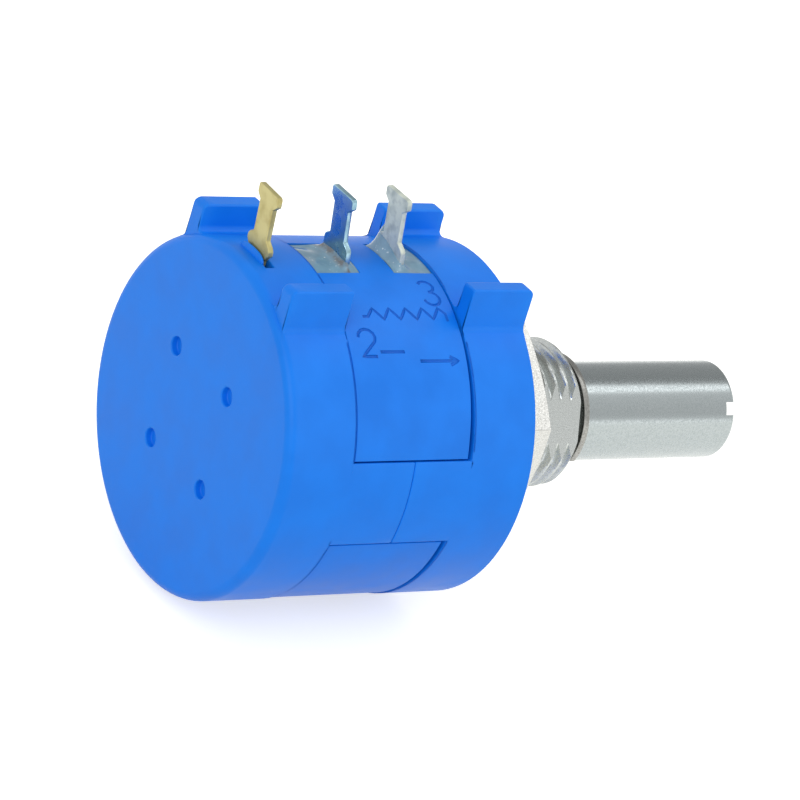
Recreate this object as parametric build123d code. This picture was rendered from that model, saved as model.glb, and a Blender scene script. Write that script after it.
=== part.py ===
from build123d import *
import math
import os

os.makedirs("parts", exist_ok=True)

# Ten-turn wirewound panel potentiometer. Sizes in millimetres, angles in degrees.
# Origin: on the shaft axis, in the mounting face that is clamped to the back of a panel.
# +X runs along the shaft towards the knob, +Z points at the solder terminals.
# Angles about the axis are measured from +Z towards -Y.

# ---- housing: two covers of blue moulded plastic, closed over an element housing
body_radius = 11.1125
body_length = 18.85          # mounting face to rear face
rim_setback = 0.95           # outer rim of the front cover, behind the mounting face
pad_radius = 8.75            # raised round pad that carries the mounting face
rear_edge_round = 0.6
cover_wall = 1.1             # skirt of both covers
front_wall = 1.65            # front rim to inside
rear_wall = 1.05
seam_setback = 9.65          # joint between the covers' skirts, behind the mounting face
window_front = 5.5           # front and rear edges of the windows, behind the mounting face
window_rear = 14.1
web_angle = 29.2             # each of the two webs, at the sides, where the covers meet
recess_radius = 0.55         # four blind recesses in the rear face
recess_depth = 0.45
recess_circle = 4.5

# ---- guard ears beside the terminals, two on each cover
ear_offset = 6.0             # outer face of an ear from the middle plane
ear_thickness = 1.15
ear_rise = 0.7875            # above the covers' surface, at the middle plane
ear_inset = 0.64             # rear ears start this far in front of the rear face
ear_end_round = 0.45         # corner at the cover's own end
ear_window_round = 0.3       # corner at the window
ear_root_round = 0.45

# ---- element housing: sleeve with flush lands that fill the windows
seat_gap = 0.05              # between parts that are only assembled together
insert_gap = 0.02            # between parts that are pressed or moulded together
sleeve_wall = 0.7
land_recess = 0.06           # lands lie this much under the covers' surface
land_front_gap = 0.35
land_rear_gap = 0.08
land_side_gap = 0.1
stop_width = 1.4             # moulded end stops inside the sleeve
stop_reach = 1.55            # inwards from the sleeve's bore

# ---- terminals: flat waisted lugs of sheet metal
lug_thickness = 0.35
lug_base_width = 2.7
lug_neck_width = 1.6
lug_head_width = 2.4
lug_base_height = 0.9        # heights along the lug, from the bend
lug_neck_start = 1.35
lug_neck_end = 3.45
lug_head_start = 3.75
lug_length = 4.4
lug_corner_round = 0.18
lug_bend_depth = 0.1125      # bend, under the covers' surface
start_lug_setback = 11.57    # terminal 1, element start
wiper_lug_inset = 1.68       # terminal 2, wiper, in front of the rear face
end_lug_setback = 7.66       # terminal 3, element end
start_lug_angle = 9.0        # lean, from upright
wiper_lug_angle = 4.75
end_lug_angle = 8.25
pocket_width = 3.8           # potted pockets round terminals 1 and 3
start_pocket_front = 10.9
end_pocket_rear = 8.4
seal_recess = 0.18           # potting compound under the land's surface
seal_foot = 1.3              # fillet of compound that climbs the lug, along the surface
seal_climb = 0.75            # and up the lug
seal_lip = 0.15              # thickness of compound at the top of the fillet
seal_side = 0.2              # fillet past the lug's edges
seal_root = 0.3              # fillet's foot, under the pool's surface
slot_length = 0.6            # slot in the rear cover for terminal 2, along the axis
tap_thickness = 0.25         # straps from terminals 1 and 3 to the element's ends
tap_width = 1.0
tap_gap = 0.2                # sleeve wall left under a strap

# ---- bushing, nut and lock washer
bushing_radius = 4.7625      # 3/8 inch thread, crest
bushing_length = 7.7         # in front of the mounting face
bushing_bore = 3.2
bushing_end_chamfer = 0.45
bushing_flat = 4.13          # flat along the thread, from the axis
bushing_flat_angle = 70.0
flange_radius = 6.9          # corners of the six-sided flange moulded into the front wall
flange_thickness = 1.0
flange_cover = 0.9           # plastic in front of the flange, under the mounting face
nut_across_flats = 12.7
nut_thickness = 2.38
nut_angle = 12.0
nut_chamfer = 0.32
nut_face_step = 0.1          # round face of the chamfer, inside the flats
thread_gap = 0.06
washer_radius = 6.6
washer_root = 5.6
washer_sheet = 0.45
washer_height = 1.0          # over the twisted teeth
tooth_count = 12
tooth_width = 1.3
tooth_root = 0.3             # tooth inside the ring it is stamped from
tooth_twist_angle = 27.0

# ---- shaft and what turns with it
shaft_radius = 3.175
shaft_tip = 21.22            # in front of the mounting face
shaft_end_chamfer = 0.3
drive_slot_width = 0.84
drive_slot_depth = 0.8
drive_slot_angle = 61.0
ring_setback = 8.3           # retaining ring, in front of the mounting face
ring_thickness = 0.44
ring_radius = 4.06
ring_groove_radius = 2.7
ring_gap_angle = 40.0
ring_gap_place_angle = 140.0
spindle_radius = 2.5         # inner end of the shaft, inside the rotor hub
spindle_flat = 2.0
running_gap = 0.04
thrust_thickness = 0.25
thrust_radius = 4.9
hub_radius = 3.7
hub_disc_radius = 7.45
hub_disc_thickness = 0.8
hub_arm_width = 5.2
rear_space = 0.7             # between the rear disc and the rear wall
slip_ring_inset = 0.35       # inside the rear disc's rim
slip_ring_width = 1.6
slip_ring_thickness = 0.2
rod_radius = 0.45
rod_inset = 1.0              # inside the rear disc's rim
rod_spread = 2.7

# ---- resistance element and the wiper that follows it
element_turns = 10
element_steps = 16           # straight steps in one turn
element_size = 0.64          # square wound mandrel
overrun_angle = 8.0          # element past the wiper at each end of its travel
carriage_length = 2.1
carriage_width = 4.6
carriage_end_gap = 0.235
carriage_inner = 5.2         # underside of the carriage, from the axis
guide_gap = 0.06             # round the element turn that guides the carriage
guide_depth = 0.28
guide_width = 2.2
contact_thickness = 0.15
contact_width = 0.5
contact_foot = 0.6
stop_gap = 0.1               # beside the carriage at either end of its travel
stop_clearance = 0.3         # past the carriage one turn earlier
brush_thickness = 0.12
brush_width = 1.0
brush_pad = 0.8              # straight end that bears on the ring
brush_past = 0.4             # its tip, inside the middle of the ring
brush_top_gap = 1.1          # its weld, under the rear cover's bore
wiper_foot_clearance = 0.9   # foot of terminal 2, outside the rotor's disc

spare = 1.0                  # how far a cutter reaches past what it cuts

# ---- places that follow from the sizes above
ear_top = body_radius + ear_rise
lug_bend_height = body_radius - lug_bend_depth
wiper_lug_setback = body_length - wiper_lug_inset
rear_x = -body_length
rim_x = -rim_setback
seam_x = -seam_setback
front_inside = rim_x - front_wall
rear_inside = rear_x + rear_wall
cover_bore = body_radius - cover_wall
sleeve_radius = cover_bore - seat_gap
sleeve_bore = sleeve_radius - sleeve_wall
land_radius = body_radius - land_recess
window_half = 90.0 - web_angle / 2
element_outer = sleeve_bore - insert_gap
element_radius = element_outer - element_size / 2
element_inner = element_outer - element_size
element_clear = element_inner * math.cos(math.pi / element_steps)
tap_level = sleeve_bore + tap_gap
thrust_x = front_inside - running_gap
hub_front = thrust_x - thrust_thickness - running_gap
front_disc_rear = hub_front - hub_disc_thickness
hub_rear = rear_inside + rear_space
rear_disc_front = hub_rear + hub_disc_thickness
wiper_start = rear_disc_front + carriage_end_gap + carriage_length / 2
wiper_end = front_disc_rear - carriage_end_gap - carriage_length / 2
pitch = (wiper_end - wiper_start) / element_turns
slip_ring_front = hub_rear
slip_ring_rear = slip_ring_front - slip_ring_thickness
slip_ring_outer = hub_disc_radius - slip_ring_inset
slip_ring_inner = slip_ring_outer - slip_ring_width
rod_circle = hub_disc_radius - rod_inset
nut_x = washer_height + seat_gap


def disc(radius, x1, x2):
    """Cylinder about the shaft axis from x1 to x2."""
    bar = Cylinder(radius, x2 - x1, align=(Align.CENTER, Align.CENTER, Align.MIN))
    return Pos(x1, 0, 0) * Rot(0, 90, 0) * bar


def ring(inner, outer, x1, x2):
    """Plain ring about the shaft axis."""
    return disc(outer, x1, x2) - disc(inner, x1 - spare, x2 + spare)


def block(x1, x2, y1, y2, z1, z2):
    """Box given by its faces."""
    return Pos((x1 + x2) / 2, (y1 + y2) / 2, (z1 + z2) / 2) * Box(x2 - x1, y2 - y1, z2 - z1)


def sector(inner, outer, x1, x2, middle, half):
    """Part of a ring that reaches half degrees to each side of the middle angle."""
    size = Rectangle(x2 - x1, outer - inner)
    face = Plane.XZ * Pos((x1 + x2) / 2, (inner + outer) / 2) * size
    turned = revolve(face, Axis.X, revolution_arc=2 * half)
    return Rot(middle - half, 0, 0) * turned


def ears(x1, x2, end_is_rear):
    """Stretch of solid skirt with two guard ears, rounded corners and soft roots."""
    section = Circle(body_radius)
    for side in (-1, 1):
        middle = side * (ear_offset - ear_thickness / 2)
        section += Pos(middle, ear_top / 2) * Rectangle(ear_thickness, ear_top)
    roots = [v for v in section.vertices()
             if v.Y > 0 and abs(math.hypot(v.X, v.Y) - body_radius) < 0.001 and abs(v.X) > 1]
    section = fillet(roots, ear_root_round)
    bar = extrude(Plane.YZ.offset(x1) * section, x2 - x1)
    radii = (ear_end_round, ear_window_round) if end_is_rear else (ear_window_round, ear_end_round)
    return bar - corner_cut(x1, radii[0], 1) - corner_cut(x2, radii[1], -1)


def corner_cut(x, radius, inward):
    """Cutter that rounds the upper corner of both ears at one end."""
    half = ear_offset + spare
    x_mid = x + inward * radius
    x1, x2 = sorted((x_mid, x - inward * spare))
    corner = block(x1, x2, -half, half, ear_top - radius, ear_top + spare)
    corner -= Pos(x_mid, 0, ear_top - radius) * Rot(90, 0, 0) * Cylinder(radius, 2 * (half + spare))
    inner = ear_offset - ear_thickness - ear_root_round
    return corner - block(x1 - spare, x2 + spare, -inner, inner, 0, ear_top + 2 * spare)


def windows(x1, x2):
    """Cutter for the openings in the skirts, over the terminals and opposite them."""
    cut = sector(cover_bore - spare, body_radius + spare, x1, x2, 0, window_half)
    return cut + sector(cover_bore - spare, body_radius + spare, x1, x2, 180, window_half)


def bushing_body(gap=0.0):
    """Turned bushing with its moulded-in six-sided flange, grown by a gap for the mould's cavity."""
    flange = Plane.YZ.offset(-flange_cover - flange_thickness - gap) * RegularPolygon(flange_radius + gap, 6)
    flange = extrude(flange, flange_thickness + 2 * gap)
    return disc(bushing_radius + gap, front_inside - gap, bushing_length) + flange


def lug_outline():
    """Face of a lug above its bend: wide base, narrow neck and wide head."""
    base, neck, head = lug_base_width / 2, lug_neck_width / 2, lug_head_width / 2
    right = [(base, 0), (base, lug_base_height), (neck, lug_neck_start), (neck, lug_neck_end),
             (head, lug_head_start), (head, lug_length)]
    left = [(-y, z) for y, z in reversed(right)]
    face = make_face(Polyline(*right, *left, close=True))
    return fillet(face.vertices().sort_by(Axis.Y)[-2:], lug_corner_round)


def terminal(setback, lean, foot):
    """Lug that stands on its foot and leans back a little above the bend."""
    half = lug_thickness / 2
    blade = extrude(Plane.YZ.offset(-half) * lug_outline(), lug_thickness)
    blade = Rot(0, -lean, 0) * blade
    bend = Rot(90, 0, 0) * Cylinder(half, lug_base_width)
    stem = block(-half, half, -lug_base_width / 2, lug_base_width / 2, foot - lug_bend_height, 0)
    return Pos(-setback, 0, lug_bend_height) * (blade + bend + stem)


def tap_strap(x_lug, x_end):
    """Strap under a terminal's foot, with a tab down to the end of the element."""
    half = tap_width / 2
    past = math.copysign(tap_width / 2, x_end - x_lug)
    x1, x2 = sorted((x_lug - past, x_end + past))
    strap = block(x1, x2, -half, half, tap_level, tap_level + tap_thickness)
    return strap + block(x_end - half, x_end + half, -half, half, element_outer + insert_gap, tap_level)


def pocket(x1, x2, gap=0.0):
    """Room in the lands round a terminal, down to the strap's level."""
    half = pocket_width / 2 - gap
    return block(x1 + gap, x2 - gap, -half, half, tap_level, body_radius + spare)


def seal(x1, x2, setback, lug, strap):
    """Potting compound in a pocket, with a fillet that climbs the lug."""
    top = body_radius - land_recess - seal_recess
    fill = pocket(x1, x2, insert_gap) & disc(top, x1, x2)
    crest = lug_thickness / 2 + seal_lip
    outline = [(-seal_foot, top - seal_root), (-crest, top + seal_climb), (crest, top + seal_climb),
               (seal_foot, top - seal_root)]
    half = lug_base_width / 2 + seal_side
    mound = extrude(Plane.XZ * make_face(Polyline(*outline, close=True)), half, both=True)
    room = block(x1 + insert_gap, x2 - insert_gap, -half, half, tap_level, top + seal_climb + spare)
    return fill + (Pos(-setback, 0, 0) * mound & room) - lug - strap


def rounded_end(x_end):
    """Closed end of the rear cover, whose edge is rounded in narrow bands."""
    points = [(x_end, 0), (x_end, body_radius)]
    for step in range(4):
        turn = math.radians(30 * step)
        points.append((rear_x + rear_edge_round * (1 - math.sin(turn)),
                       body_radius - rear_edge_round * (1 - math.cos(turn))))
    points.append((rear_x, 0))
    return revolve(Plane.XZ * make_face(Polyline(*points, close=True)), Axis.X)


def rear_cover():
    """Rear cup with two ears, four recesses and the slot for terminal 2."""
    ears_x = rear_x + ear_inset
    cup = rounded_end(ears_x)
    cup += ears(ears_x, -window_rear, True)
    cup += disc(body_radius, -window_rear, seam_x)
    cup -= disc(cover_bore, rear_inside, seam_x + spare)
    cup -= windows(-window_rear, seam_x + spare)
    for corner in range(4):
        drill = Pos(0, 0, recess_circle) * disc(recess_radius, rear_x - spare, rear_x + recess_depth)
        cup -= Rot(45 + 90 * corner, 0, 0) * drill
    slot_half = slot_length / 2
    half = pocket_width / 2
    low, top = cover_bore - spare, body_radius + spare
    cup -= block(-wiper_lug_setback - slot_half, -wiper_lug_setback + slot_half, -half, half, low, top)
    return cup


def front_cover():
    """Front cup with two ears and a raised pad, moulded round the bushing."""
    cup = disc(body_radius, seam_x + insert_gap, -window_front)
    cup += ears(-window_front, rim_x, False)
    cup += disc(pad_radius, rim_x, 0)
    cup -= disc(cover_bore, seam_x - spare, front_inside)
    cup -= windows(seam_x - spare, -window_front)
    return cup - bushing_body(insert_gap)


def element_housing(pockets):
    """Sleeve that carries the element inside, with lands that fill the windows."""
    sleeve = disc(sleeve_radius, rear_inside + seat_gap, front_inside - seat_gap)
    gap_angle = math.degrees(land_side_gap / land_radius)
    x1, x2 = land_rear_gap - window_rear, -window_front - land_front_gap
    for middle in (0, 180):
        root = sleeve_radius - sleeve_wall / 2
        sleeve += sector(root, land_radius, x1, x2, middle, window_half - gap_angle)
    sleeve -= disc(sleeve_bore, rear_x, spare)
    for room in pockets:
        sleeve -= room
    half = tap_width / 2 + seat_gap
    high = body_radius + spare
    for x_lug, x_end in ((-start_lug_setback, wiper_start), (-end_lug_setback, wiper_end)):
        reach = math.copysign(half, x_end - x_lug)
        low, top = sorted((x_lug, x_end + reach))
        sleeve -= block(low, top, -half, half, tap_level, sleeve_radius)
        level = tap_level + insert_gap / 2
        sleeve -= block(x_end - half, x_end + half, -half, half, sleeve_bore - spare, level)
    slot_half = slot_length / 2
    notch = lug_base_width / 2 + land_side_gap
    sleeve -= block(rear_x, -wiper_lug_setback + slot_half, -notch, notch, 0, high)
    return sleeve + end_stop(True) + end_stop(False)


def end_stop(at_front):
    """Moulded stop that meets the carriage's side on the last part of its last turn."""
    near = carriage_width / 2 + stop_gap
    side = 1 if at_front else -1
    y1, y2 = sorted((side * near, side * (near + stop_width)))
    if at_front:
        x1, x2 = wiper_end + carriage_length / 2 - pitch + stop_clearance, front_inside - seat_gap
    else:
        x1, x2 = rear_inside + seat_gap, wiper_start - carriage_length / 2 + pitch - stop_clearance
    room = ring(sleeve_bore - stop_reach, sleeve_bore + sleeve_wall / 2, x1, x2)
    return room & block(x1, x2, y1, y2, 0, body_radius)


def resistance_element():
    """Wound mandrel: a left-hand helix, in short straight steps, that the wiper follows."""
    count = round(element_steps * (element_turns + 2 * overrun_angle / 360))
    turn = 360 * element_turns + 2 * overrun_angle
    half = element_size / 2
    sections = []
    for number in range(count + 1):
        angle = turn * number / count - overrun_angle
        x = wiper_start + pitch * angle / 360
        corners = [(x - half, element_inner), (x + half, element_inner),
                   (x + half, element_outer), (x - half, element_outer)]
        sections.append(Rot(-angle, 0, 0) * (Plane.XZ * make_face(Polyline(*corners, close=True))))
    return loft(sections, ruled=True)


def bushing():
    """Turned bushing with bore, flat and chamfered end."""
    body = bushing_body() - disc(bushing_bore, front_inside - spare, bushing_length + spare)
    crest = body.edges().filter_by(GeomType.CIRCLE).group_by(Axis.X)[-1].sort_by(lambda e: e.radius)[-1]
    body = chamfer(crest, bushing_end_chamfer)
    half = bushing_radius + spare
    flat = block(washer_height / 2, bushing_length + spare, -half, half, bushing_flat, half)
    return body - Rot(bushing_flat_angle, 0, 0) * flat


def mounting_nut():
    """Hexagon nut with both faces chamfered."""
    corner = nut_across_flats / math.sqrt(3)
    x2 = nut_x + nut_thickness
    hexagon = Plane.YZ.offset(nut_x) * Rot(0, 0, 90) * RegularPolygon(corner, 6)
    body = extrude(hexagon, nut_thickness)
    flat = nut_across_flats / 2
    outline = [(nut_x, 0), (nut_x, flat - nut_face_step), (nut_x + nut_chamfer, corner),
               (x2 - nut_chamfer, corner), (x2, flat - nut_face_step), (x2, 0)]
    turned = revolve(Plane.XZ * make_face(Polyline(*outline, close=True)), Axis.X)
    body = body & turned
    return Rot(nut_angle, 0, 0) * (body - disc(bushing_radius + thread_gap, nut_x - spare, x2 + spare))


def lock_washer():
    """Internal-tooth lock washer with twisted teeth."""
    middle = washer_height / 2
    half, wide = washer_sheet / 2, tooth_width / 2
    hole = Plane.YZ * Rot(0, 0, 180 / tooth_count) * RegularPolygon(washer_root, tooth_count, major_radius=False)
    body = disc(washer_radius, middle - half, middle + half) - extrude(hole, washer_height)
    inner = bushing_radius + thread_gap
    tooth = block(-half, half, -wide, wide, inner, washer_root + tooth_root)
    for number in range(tooth_count):
        place = Pos(middle, 0, 0) * Rot(360 * number / tooth_count, 0, 0) * Rot(0, 0, tooth_twist_angle)
        body += place * tooth
    return body


def shaft():
    """Stainless shaft with a driver slot, a ring groove and a stepped inner end."""
    body = disc(shaft_radius, hub_front, shaft_tip)
    body = chamfer(body.edges().group_by(Axis.X)[-1], shaft_end_chamfer)
    half, reach = drive_slot_width / 2, shaft_radius + spare
    slot = block(shaft_tip - drive_slot_depth, shaft_tip + spare, -half, half, -reach, reach)
    body -= Rot(drive_slot_angle, 0, 0) * slot
    body -= ring(ring_groove_radius, shaft_radius + spare, ring_setback - running_gap,
                 ring_setback + ring_thickness + running_gap)
    spindle = disc(spindle_radius, hub_rear, hub_front)
    reach = spindle_radius + spare
    return body + spindle - block(hub_rear - spare, hub_front, -reach, reach, spindle_flat, reach)


def retaining_ring():
    """Open ring that snaps into the shaft's groove in front of the bushing."""
    x2 = ring_setback + ring_thickness
    body = ring(ring_groove_radius + insert_gap, ring_radius, ring_setback, x2)
    cut = sector(ring_groove_radius - spare, ring_radius + spare, ring_setback - spare, x2 + spare,
                 ring_gap_place_angle, ring_gap_angle / 2)
    return body - cut


def collector_rod(gap=0.0):
    """Round rod parallel to the shaft, from the slip ring into the front arm."""
    x2 = hub_front - hub_disc_thickness / 2
    return Pos(0, rod_spread / 2, rod_circle) * disc(rod_radius + gap, slip_ring_front, x2 + gap)


def guide_rail(gap=0.0):
    """Square rail beside the rod, that keeps the carriage from tilting."""
    x2 = hub_front - hub_disc_thickness / 2
    half = rod_radius + gap
    rail = block(slip_ring_front, x2 + gap, -half, half, -half, half)
    return Pos(0, -rod_spread / 2, rod_circle) * rail


def rotor_hub():
    """Moulded hub: a tube with a rear disc and a front arm, and holes for the spindle and the rods."""
    hub = disc(hub_radius, hub_rear, hub_front)
    hub += disc(hub_disc_radius, hub_rear, rear_disc_front)
    arm = block(front_disc_rear, hub_front, -hub_arm_width / 2, hub_arm_width / 2, 0, hub_disc_radius + spare)
    hub += arm & disc(hub_disc_radius, front_disc_rear - spare, hub_front + spare)
    x1, x2, reach = hub_rear - spare, hub_front + spare, spindle_radius + spare
    bore = disc(spindle_radius + insert_gap, x1, x2)
    bore -= block(x1 - spare, x2 + spare, -reach, reach, spindle_flat + insert_gap, reach)
    hub -= bore
    return hub - collector_rod(insert_gap) - guide_rail(insert_gap)


def wiper_carriage():
    """Block that slides on the rod and the rail, with two ribs in the gaps beside an element turn."""
    half = carriage_length / 2
    top = element_clear - guide_gap
    body = block(-half, half, -carriage_width / 2, carriage_width / 2, carriage_inner, body_radius)
    body = body & disc(top, -half - spare, half + spare)
    rib_half = (pitch - element_size) / 2 - guide_gap - guide_width * pitch / (4 * math.pi * element_radius)
    for side in (-1, 1):
        x = side * pitch / 2
        wide = guide_width / 2
        body += block(x - rib_half, x + rib_half, -wide, wide, carriage_inner, top + guide_depth)
    body = Pos(wiper_start, 0, 0) * (body - contact_strip(insert_gap))
    return body - collector_rod(running_gap) - guide_rail(running_gap)


def contact_strip(grow=0.0):
    """Strip from the element turn down through the carriage, beside the collector rod."""
    top = element_clear - running_gap / 2 + grow
    half = contact_width / 2 + grow
    y = rod_spread / 2 - rod_radius - running_gap - contact_thickness
    return block(-half, half, y - grow, y + contact_thickness + grow, carriage_inner - grow, top)


def wiper_contact():
    """Precious-metal strip that bears on the element above and on the collector rod beside it."""
    y = rod_spread / 2 - rod_radius - running_gap - contact_thickness
    half = carriage_length / 2
    foot = block(-half, half, y, y + contact_foot, carriage_inner - contact_thickness, carriage_inner)
    return Pos(wiper_start, 0, 0) * (contact_strip() + foot)


def slip_ring_brush():
    """Spring arm from terminal 2 that bends down to the slip ring."""
    weld = -wiper_lug_setback - lug_thickness / 2
    touch = slip_ring_rear - running_gap
    low = (slip_ring_inner + slip_ring_outer) / 2 - brush_past
    knee, top = hub_disc_radius + wiper_foot_clearance, cover_bore - brush_top_gap
    t = brush_thickness
    outline = [(weld, top), (weld, knee), (touch, low + brush_pad), (touch, low), (touch - t, low),
               (touch - t, low + brush_pad), (weld - t, knee), (weld - t, top)]
    face = Plane.XZ * make_face(Polyline(*outline, close=True))
    return Pos(0, brush_width / 2, 0) * extrude(face, brush_width)


def main():
    """Build every piece and write it to its own file."""
    start_room = (land_rear_gap - window_rear, -start_pocket_front)
    end_room = (-end_pocket_rear, -window_front - land_front_gap)
    foot = tap_level + tap_thickness
    lug_start = terminal(start_lug_setback, start_lug_angle, foot)
    lug_wiper = terminal(wiper_lug_setback, wiper_lug_angle, hub_disc_radius + wiper_foot_clearance)
    lug_end = terminal(end_lug_setback, end_lug_angle, foot)
    start_tap = tap_strap(-start_lug_setback, wiper_start)
    end_tap = tap_strap(-end_lug_setback, wiper_end)
    pieces = {
        "rear_cover": rear_cover(),
        "front_cover": front_cover(),
        "element_housing": element_housing([pocket(*start_room), pocket(*end_room)]),
        "resistance_element": resistance_element(),
        "terminal_1": lug_start,
        "terminal_2": lug_wiper,
        "terminal_3": lug_end,
        "start_tap": start_tap,
        "end_tap": end_tap,
        "terminal_seal_1": seal(*start_room, start_lug_setback, lug_start, start_tap),
        "terminal_seal_3": seal(*end_room, end_lug_setback, lug_end, end_tap),
        "slip_ring_brush": slip_ring_brush(),
        "bushing": bushing(),
        "lock_washer": lock_washer(),
        "mounting_nut": mounting_nut(),
        "shaft": shaft(),
        "retaining_ring": retaining_ring(),
        "thrust_washer": ring(shaft_radius + running_gap, thrust_radius, thrust_x - thrust_thickness, thrust_x),
        "rotor_hub": rotor_hub(),
        "slip_ring": ring(slip_ring_inner, slip_ring_outer, slip_ring_rear, slip_ring_front),
        "collector_rod": collector_rod(),
        "guide_rail": guide_rail(),
        "wiper_carriage": wiper_carriage(),
        "wiper_contact": wiper_contact(),
    }
    for name, piece in pieces.items():
        export_step(piece, f"parts/{name}.step")
    print("pitch", pitch, "wiper", wiper_start, wiper_end)


main()
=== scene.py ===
import bpy
import bmesh
import math
from mathutils import Matrix, Vector


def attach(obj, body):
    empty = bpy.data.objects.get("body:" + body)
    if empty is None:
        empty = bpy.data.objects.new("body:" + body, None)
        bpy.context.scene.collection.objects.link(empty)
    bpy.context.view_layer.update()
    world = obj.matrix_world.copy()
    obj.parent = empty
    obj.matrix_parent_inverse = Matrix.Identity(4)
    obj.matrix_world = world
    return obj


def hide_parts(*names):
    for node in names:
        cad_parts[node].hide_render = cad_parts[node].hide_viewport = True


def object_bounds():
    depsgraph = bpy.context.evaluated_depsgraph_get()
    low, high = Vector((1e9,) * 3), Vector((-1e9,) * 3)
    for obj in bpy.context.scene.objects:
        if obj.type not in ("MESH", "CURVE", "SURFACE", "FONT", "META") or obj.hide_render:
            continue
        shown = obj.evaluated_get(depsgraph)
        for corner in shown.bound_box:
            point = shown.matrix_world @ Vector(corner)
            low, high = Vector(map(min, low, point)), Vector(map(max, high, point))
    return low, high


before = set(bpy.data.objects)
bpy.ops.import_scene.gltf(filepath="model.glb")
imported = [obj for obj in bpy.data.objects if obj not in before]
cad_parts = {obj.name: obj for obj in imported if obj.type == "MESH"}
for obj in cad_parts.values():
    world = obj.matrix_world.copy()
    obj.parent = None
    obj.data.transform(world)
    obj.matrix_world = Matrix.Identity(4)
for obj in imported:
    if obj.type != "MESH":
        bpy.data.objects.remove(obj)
cad_low, cad_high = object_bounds()
scene = bpy.context.scene

# ---- Camera. A long lens on a rolled camera, above and behind the rear face, so that the rear disc, the
# terminals and the shaft all show.
camera_turn, camera_height, camera_roll = math.radians(-38.83), math.radians(23.86), math.radians(17.16)
camera_aim, camera_distance = Vector((-0.00372, -0.0002, 0.0011)), 0.27
camera_back = Vector((math.sin(camera_turn) * math.cos(camera_height),
                      -math.cos(camera_turn) * math.cos(camera_height), math.sin(camera_height)))
camera_data = bpy.data.cameras.new("camera")
camera_data.lens, camera_data.sensor_width = 195.5, 36
camera_data.clip_start, camera_data.clip_end = 0.01, 20
camera = bpy.data.objects.new("camera", camera_data)
scene.collection.objects.link(camera)
camera.matrix_world = (Matrix.Translation(camera_aim + camera_back * camera_distance)
                       @ camera_back.to_track_quat("Z", "Y").to_matrix().to_4x4()
                       @ Matrix.Rotation(camera_roll, 4, "Z"))
scene.camera = camera

# ---- Studio: a plain white sweep under the part, an even white surround, and soft lamps. What the camera
# and polished metal see of the surround is white, and dull surfaces get less light from it, so that the
# lamps still model the round forms.


def linear(code):
    """sRGB hex colour as linear red, green, blue and 1."""
    parts = [int(code[i:i + 2], 16) / 255 for i in (0, 2, 4)]
    return [c / 12.92 if c <= 0.04045 else ((c + 0.055) / 1.055) ** 2.4 for c in parts] + [1.0]


def add(tree, kind, settings, inputs):
    """Adds a node. Settings are its own properties; inputs are values or outputs to link, by socket."""
    node = tree.nodes.new(kind)
    for name, value in settings.items():
        setattr(node, name, value)
    for key, value in inputs.items():
        if isinstance(value, bpy.types.NodeSocket):
            tree.links.new(value, node.inputs[key])
        else:
            node.inputs[key].default_value = value
    return node


def seen_directly(tree):
    """1 for rays from the camera or from gloss or glass, 0 for light that only spreads."""
    ray = add(tree, "ShaderNodeLightPath", {}, {})
    first = add(tree, "ShaderNodeMath", {"operation": "MAXIMUM"},
                {0: ray.outputs["Is Camera Ray"], 1: ray.outputs["Is Glossy Ray"]})
    return add(tree, "ShaderNodeMath", {"operation": "MAXIMUM"},
               {0: first.outputs[0], 1: ray.outputs["Is Transmission Ray"]}).outputs[0]


scene.view_settings.view_transform = "Standard"
world = bpy.data.worlds.new("studio")
scene.world = world
world.use_nodes = True
world.node_tree.nodes.clear()
direct = seen_directly(world.node_tree)
strength = add(world.node_tree, "ShaderNodeMapRange", {}, {0: direct, 3: 0.8, 4: 1.0})
surround = add(world.node_tree, "ShaderNodeBackground", {},
               {"Color": linear("FFFFFF"), "Strength": strength.outputs[0]})
add(world.node_tree, "ShaderNodeOutputWorld", {}, {"Surface": surround.outputs[0]})

square = ((-1, -1), (1, -1), (1, 1), (-1, 1))
floor_level, floor_half = cad_low.z - 0.0006, 3.0
floor_mesh = bpy.data.meshes.new("floor")
floor_mesh.from_pydata([(x * floor_half, y * floor_half, floor_level) for x, y in square], [], [(0, 1, 2, 3)])
floor = bpy.data.objects.new("floor", floor_mesh)
scene.collection.objects.link(floor)
# White paper sweep, evenly lit: it shows white, and keeps a trace of the part's shadow.
paper = bpy.data.materials.new("white_paper_sweep")
paper.use_nodes = True
paper.node_tree.nodes.clear()
direct = seen_directly(paper.node_tree)
matt = add(paper.node_tree, "ShaderNodeBsdfDiffuse", {}, {"Color": linear("E6E5E0")})
light = add(paper.node_tree, "ShaderNodeMath", {"operation": "MULTIPLY"}, {0: direct, 1: 0.6})
glow = add(paper.node_tree, "ShaderNodeEmission", {},
           {"Color": linear("FFFFFF"), "Strength": light.outputs[0]})
both = add(paper.node_tree, "ShaderNodeAddShader", {}, {0: matt.outputs[0], 1: glow.outputs[0]})
add(paper.node_tree, "ShaderNodeOutputMaterial", {}, {"Surface": both.outputs[0]})
floor_mesh.materials.append(paper)

for lamp_name, place, size, watts in (("key_lamp", (-0.55, -0.40, 0.40), 0.45, 1.6),
                                      ("top_lamp", (0.46, -0.02, 0.66), 0.50, 0.92),
                                      ("fill_lamp", (0.35, -0.70, 0.20), 0.60, 0.8)):
    lamp_data = bpy.data.lights.new(lamp_name, "AREA")
    lamp_data.size, lamp_data.energy = size, watts
    lamp = bpy.data.objects.new(lamp_name, lamp_data)
    scene.collection.objects.link(lamp)
    lamp.matrix_world = (Matrix.Translation(place)
                         @ Vector(place).to_track_quat("Z", "Y").to_matrix().to_4x4())

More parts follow.
